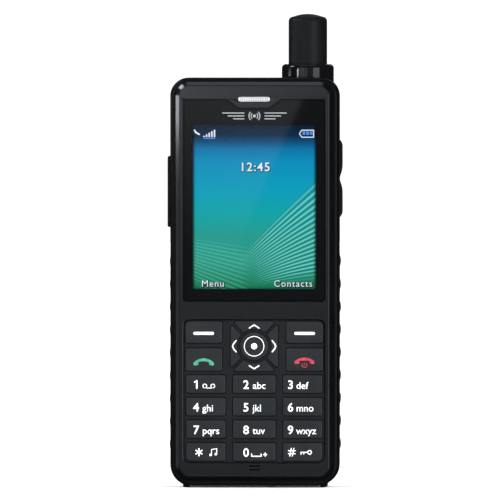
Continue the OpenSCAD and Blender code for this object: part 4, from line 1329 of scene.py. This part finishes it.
def add_stage(name, rows, material):
    """A round sheet through circles of (radius, z), hidden from gloss and casting no shadow, in metres.
    """
    steps = 64
    bm = bmesh.new()
    loops = []
    for radius, z in rows:
        loops.append([bm.verts.new((p.x, p.y, z)) for p in circle(0, 0, radius, steps)])
    for low, high in zip(loops, loops[1:]):
        for i in range(steps):
            j = (i + 1) % steps
            bm.faces.new((low[i], low[j], high[j], high[i]))
    obj = new_object(name, bm)
    obj.data.shade_smooth()
    obj.data.materials.append(material)
    obj.visible_glossy = False
    obj.visible_shadow = False


def build_stage():
    """A pale floor, and a white wall all round it."""
    paper = surface("paper", (244, 244, 244), (247, 247, 247), (0.8, 0.9),
                    grain=2, relief=0)
    add_stage("stage_floor", [(ROOM_R, 0), (0.0001, 0)], paper)
    add_stage("stage_wall", [(ROOM_R, 0), (ROOM_R, ROOM_HIGH)],
              glowing("wall", (255, 255, 255), 1.15))


def aim(obj, place, target):
    obj.location = place
    obj.rotation_euler = (Vector(target) - Vector(place)).to_track_quat("-Z", "Y").to_euler()


def add_light(name, kind, energy, seen_in_gloss):
    """A light that either lights the surfaces or shows in their gloss."""
    light = bpy.data.lights.new(name, kind)
    light.energy = energy
    obj = bpy.data.objects.new(name, light)
    bpy.context.scene.collection.objects.link(obj)
    obj.visible_glossy = seen_in_gloss
    obj.visible_diffuse = not seen_in_gloss
    obj.visible_camera = False
    return obj


def add_sun(name, place, strength):
    obj = add_light(name, "SUN", strength, False)
    obj.data.angle = math.radians(SUN_WIDTH)
    aim(obj, place, (0, 0, 0))


def add_panel(name, place, target, size, radiance):
    obj = add_light(name, "AREA", radiance * math.pi * size[0] * size[1], True)
    obj.data.shape = "RECTANGLE"
    obj.data.size, obj.data.size_y = size
    obj.data.color = PANEL_TINT
    aim(obj, place, target)
    return obj


def mirror_point(x, z, depth):
    """Where the camera's ray to a point of the lens goes on to, that far in front of it."""
    eye = Vector((CAMERA_FAR * math.sin(math.radians(CAMERA_AZIMUTH)), -CAMERA_FAR))
    share = depth / CAMERA_FAR
    return Vector((x * MM + (x * MM - eye.x) * share, -depth,
                   z * MM + (z * MM - CAMERA_Z) * share))


def add_window(depth, wide, high, low_radiance, top_radiance):
    """A panel in front, brighter towards its top, whose slanted edge shows in the lens."""
    top, foot = mirror_point(*EDGE_TOP, depth), mirror_point(*EDGE_FOOT, depth)
    up = (top - foot).normalized()
    left = Vector((-up.z, 0, up.x))
    place = foot + up * (high / 2 - 0.03) + left * wide / 2
    obj = add_panel("window", place, (0, 0, 0), (wide, high), 1)
    # The light shines along its own -Z, here along +Y
    turn = Matrix((-left, up, (-left).cross(up))).transposed().to_4x4()
    obj.matrix_world = Matrix.Translation(place) @ turn
    obj.data.use_nodes = True
    tree = obj.data.node_tree
    along = node(tree, "ShaderNodeSeparateXYZ", inputs={
        0: node(tree, "ShaderNodeNewGeometry").outputs["Parametric"]}).outputs[1]
    strength = spread(tree, along, low_radiance, top_radiance, start=0.2, end=0.7)
    tree.links.new(strength, tree.nodes["Emission"].inputs["Strength"])


# Place and strength of each sun
SUNS = {
    "sun_left": ((-1.2, -1.5, 1.3), 2.6), "sun_right": ((1.3, -1.4, 1.5), 2.2),
    "sun_back_left": ((-1.5, 1.4, 1.3), 2.0), "sun_back_right": ((1.4, 1.5, 1.3), 2.0),
}
# Place, target, size and radiance of each panel, in metres
PANELS = {
    "front": ((0, -0.9, 0.04), (0, 0, 0.08), (0.7, 0.7), 0.2),
    "corner_glow": ((-0.06, -0.15, 0.145), (-0.02, 0, 0.13), (0.06, 0.03), 1.0),
    "collar_spark": ((-0.24, -0.27, 0.134), (0.017, 0, 0.134), (0.035, 0.008), 40),
    "side_left": ((-0.18, -0.015, 0.125), (0, -0.012, 0.125), (0.05, 0.014), 9),
    "upper_left": ((-0.15, -0.015, 0.26), (-0.022, -0.012, 0.13), (0.06, 0.06), 8),
    "low_left": ((-0.8, -0.03, 0), (0, 0, 0.06), (0.25, 0.24), 0.35),
    "front_right": ((0.56, -0.66, 0.06), (0, 0, 0.07), (0.45, 0.5), 2.2),
    "below": ((0, -0.6, -0.55), (0, 0, 0), (0.5, 0.4), 0.6),
    "above": ((0, 0.05, 1.2), (0, 0, 0.1), (0.7, 0.6), 0.7),
    "behind": ((0.3, 1.4, 0.75), (0, 0, 0.08), (0.8, 0.4), 0.5),
}


def build_light():
    """Soft light from both sides for the surfaces, and a few panels for the gloss."""
    world = bpy.data.worlds.new("room")
    world.use_nodes = True
    back = world.node_tree.nodes["Background"]
    back.inputs[0].default_value = (1, 1, 1, 1)
    back.inputs[1].default_value = WORLD_STRENGTH
    bpy.context.scene.world = world
    for name, (place, strength) in SUNS.items():
        add_sun(name, place, strength)
    add_window(depth=0.4, wide=0.3, high=0.12, low_radiance=0.0, top_radiance=0.75)
    for name, row in PANELS.items():
        add_panel(name, *row)


def build_camera():
    """A very long lens a little to the right of the middle, at the object's height."""
    low, high = Vector(cad_box[0]), Vector(cad_box[1])
    centre = (low + high) / 2
    elevation, seen, shift = (0.6, 0.1630, (-0.0018, 0, 0.0001))
    a, e = math.radians(CAMERA_AZIMUTH), math.radians(elevation)
    way = Vector((math.sin(a) * math.cos(e), -math.cos(a) * math.cos(e), math.sin(e)))
    lens_data = bpy.data.cameras.new("camera")
    camera = bpy.data.objects.new("camera", lens_data)
    bpy.context.scene.collection.objects.link(camera)
    target = centre + Vector(shift)
    aim(camera, target + way * CAMERA_FAR, target)
    lens_data.sensor_width = 36
    lens_data.lens = lens_data.sensor_width * (CAMERA_FAR - 0.0135) / seen
    lens_data.clip_end = 50
    bpy.context.scene.camera = camera


def main():
    build_front_shell()
    build_rear_shell()
    build_face_panel()
    build_lens()
    build_display()
    build_earpiece()
    outlines = build_keys()
    build_keypad_mat(outlines)
    build_digit_marks()
    build_wide_key_marks()
    build_navigation_marks()
    build_lens_mark()
    build_screen_marks()
    build_antenna()
    build_collar()
    build_grips()
    build_port_cover()
    build_rocker()
    build_feet()
    build_door()
    build_battery()
    dress_cad_nodes()
    build_stage()
    build_light()
    build_camera()
    bpy.context.scene.view_settings.view_transform = "Standard"


main()
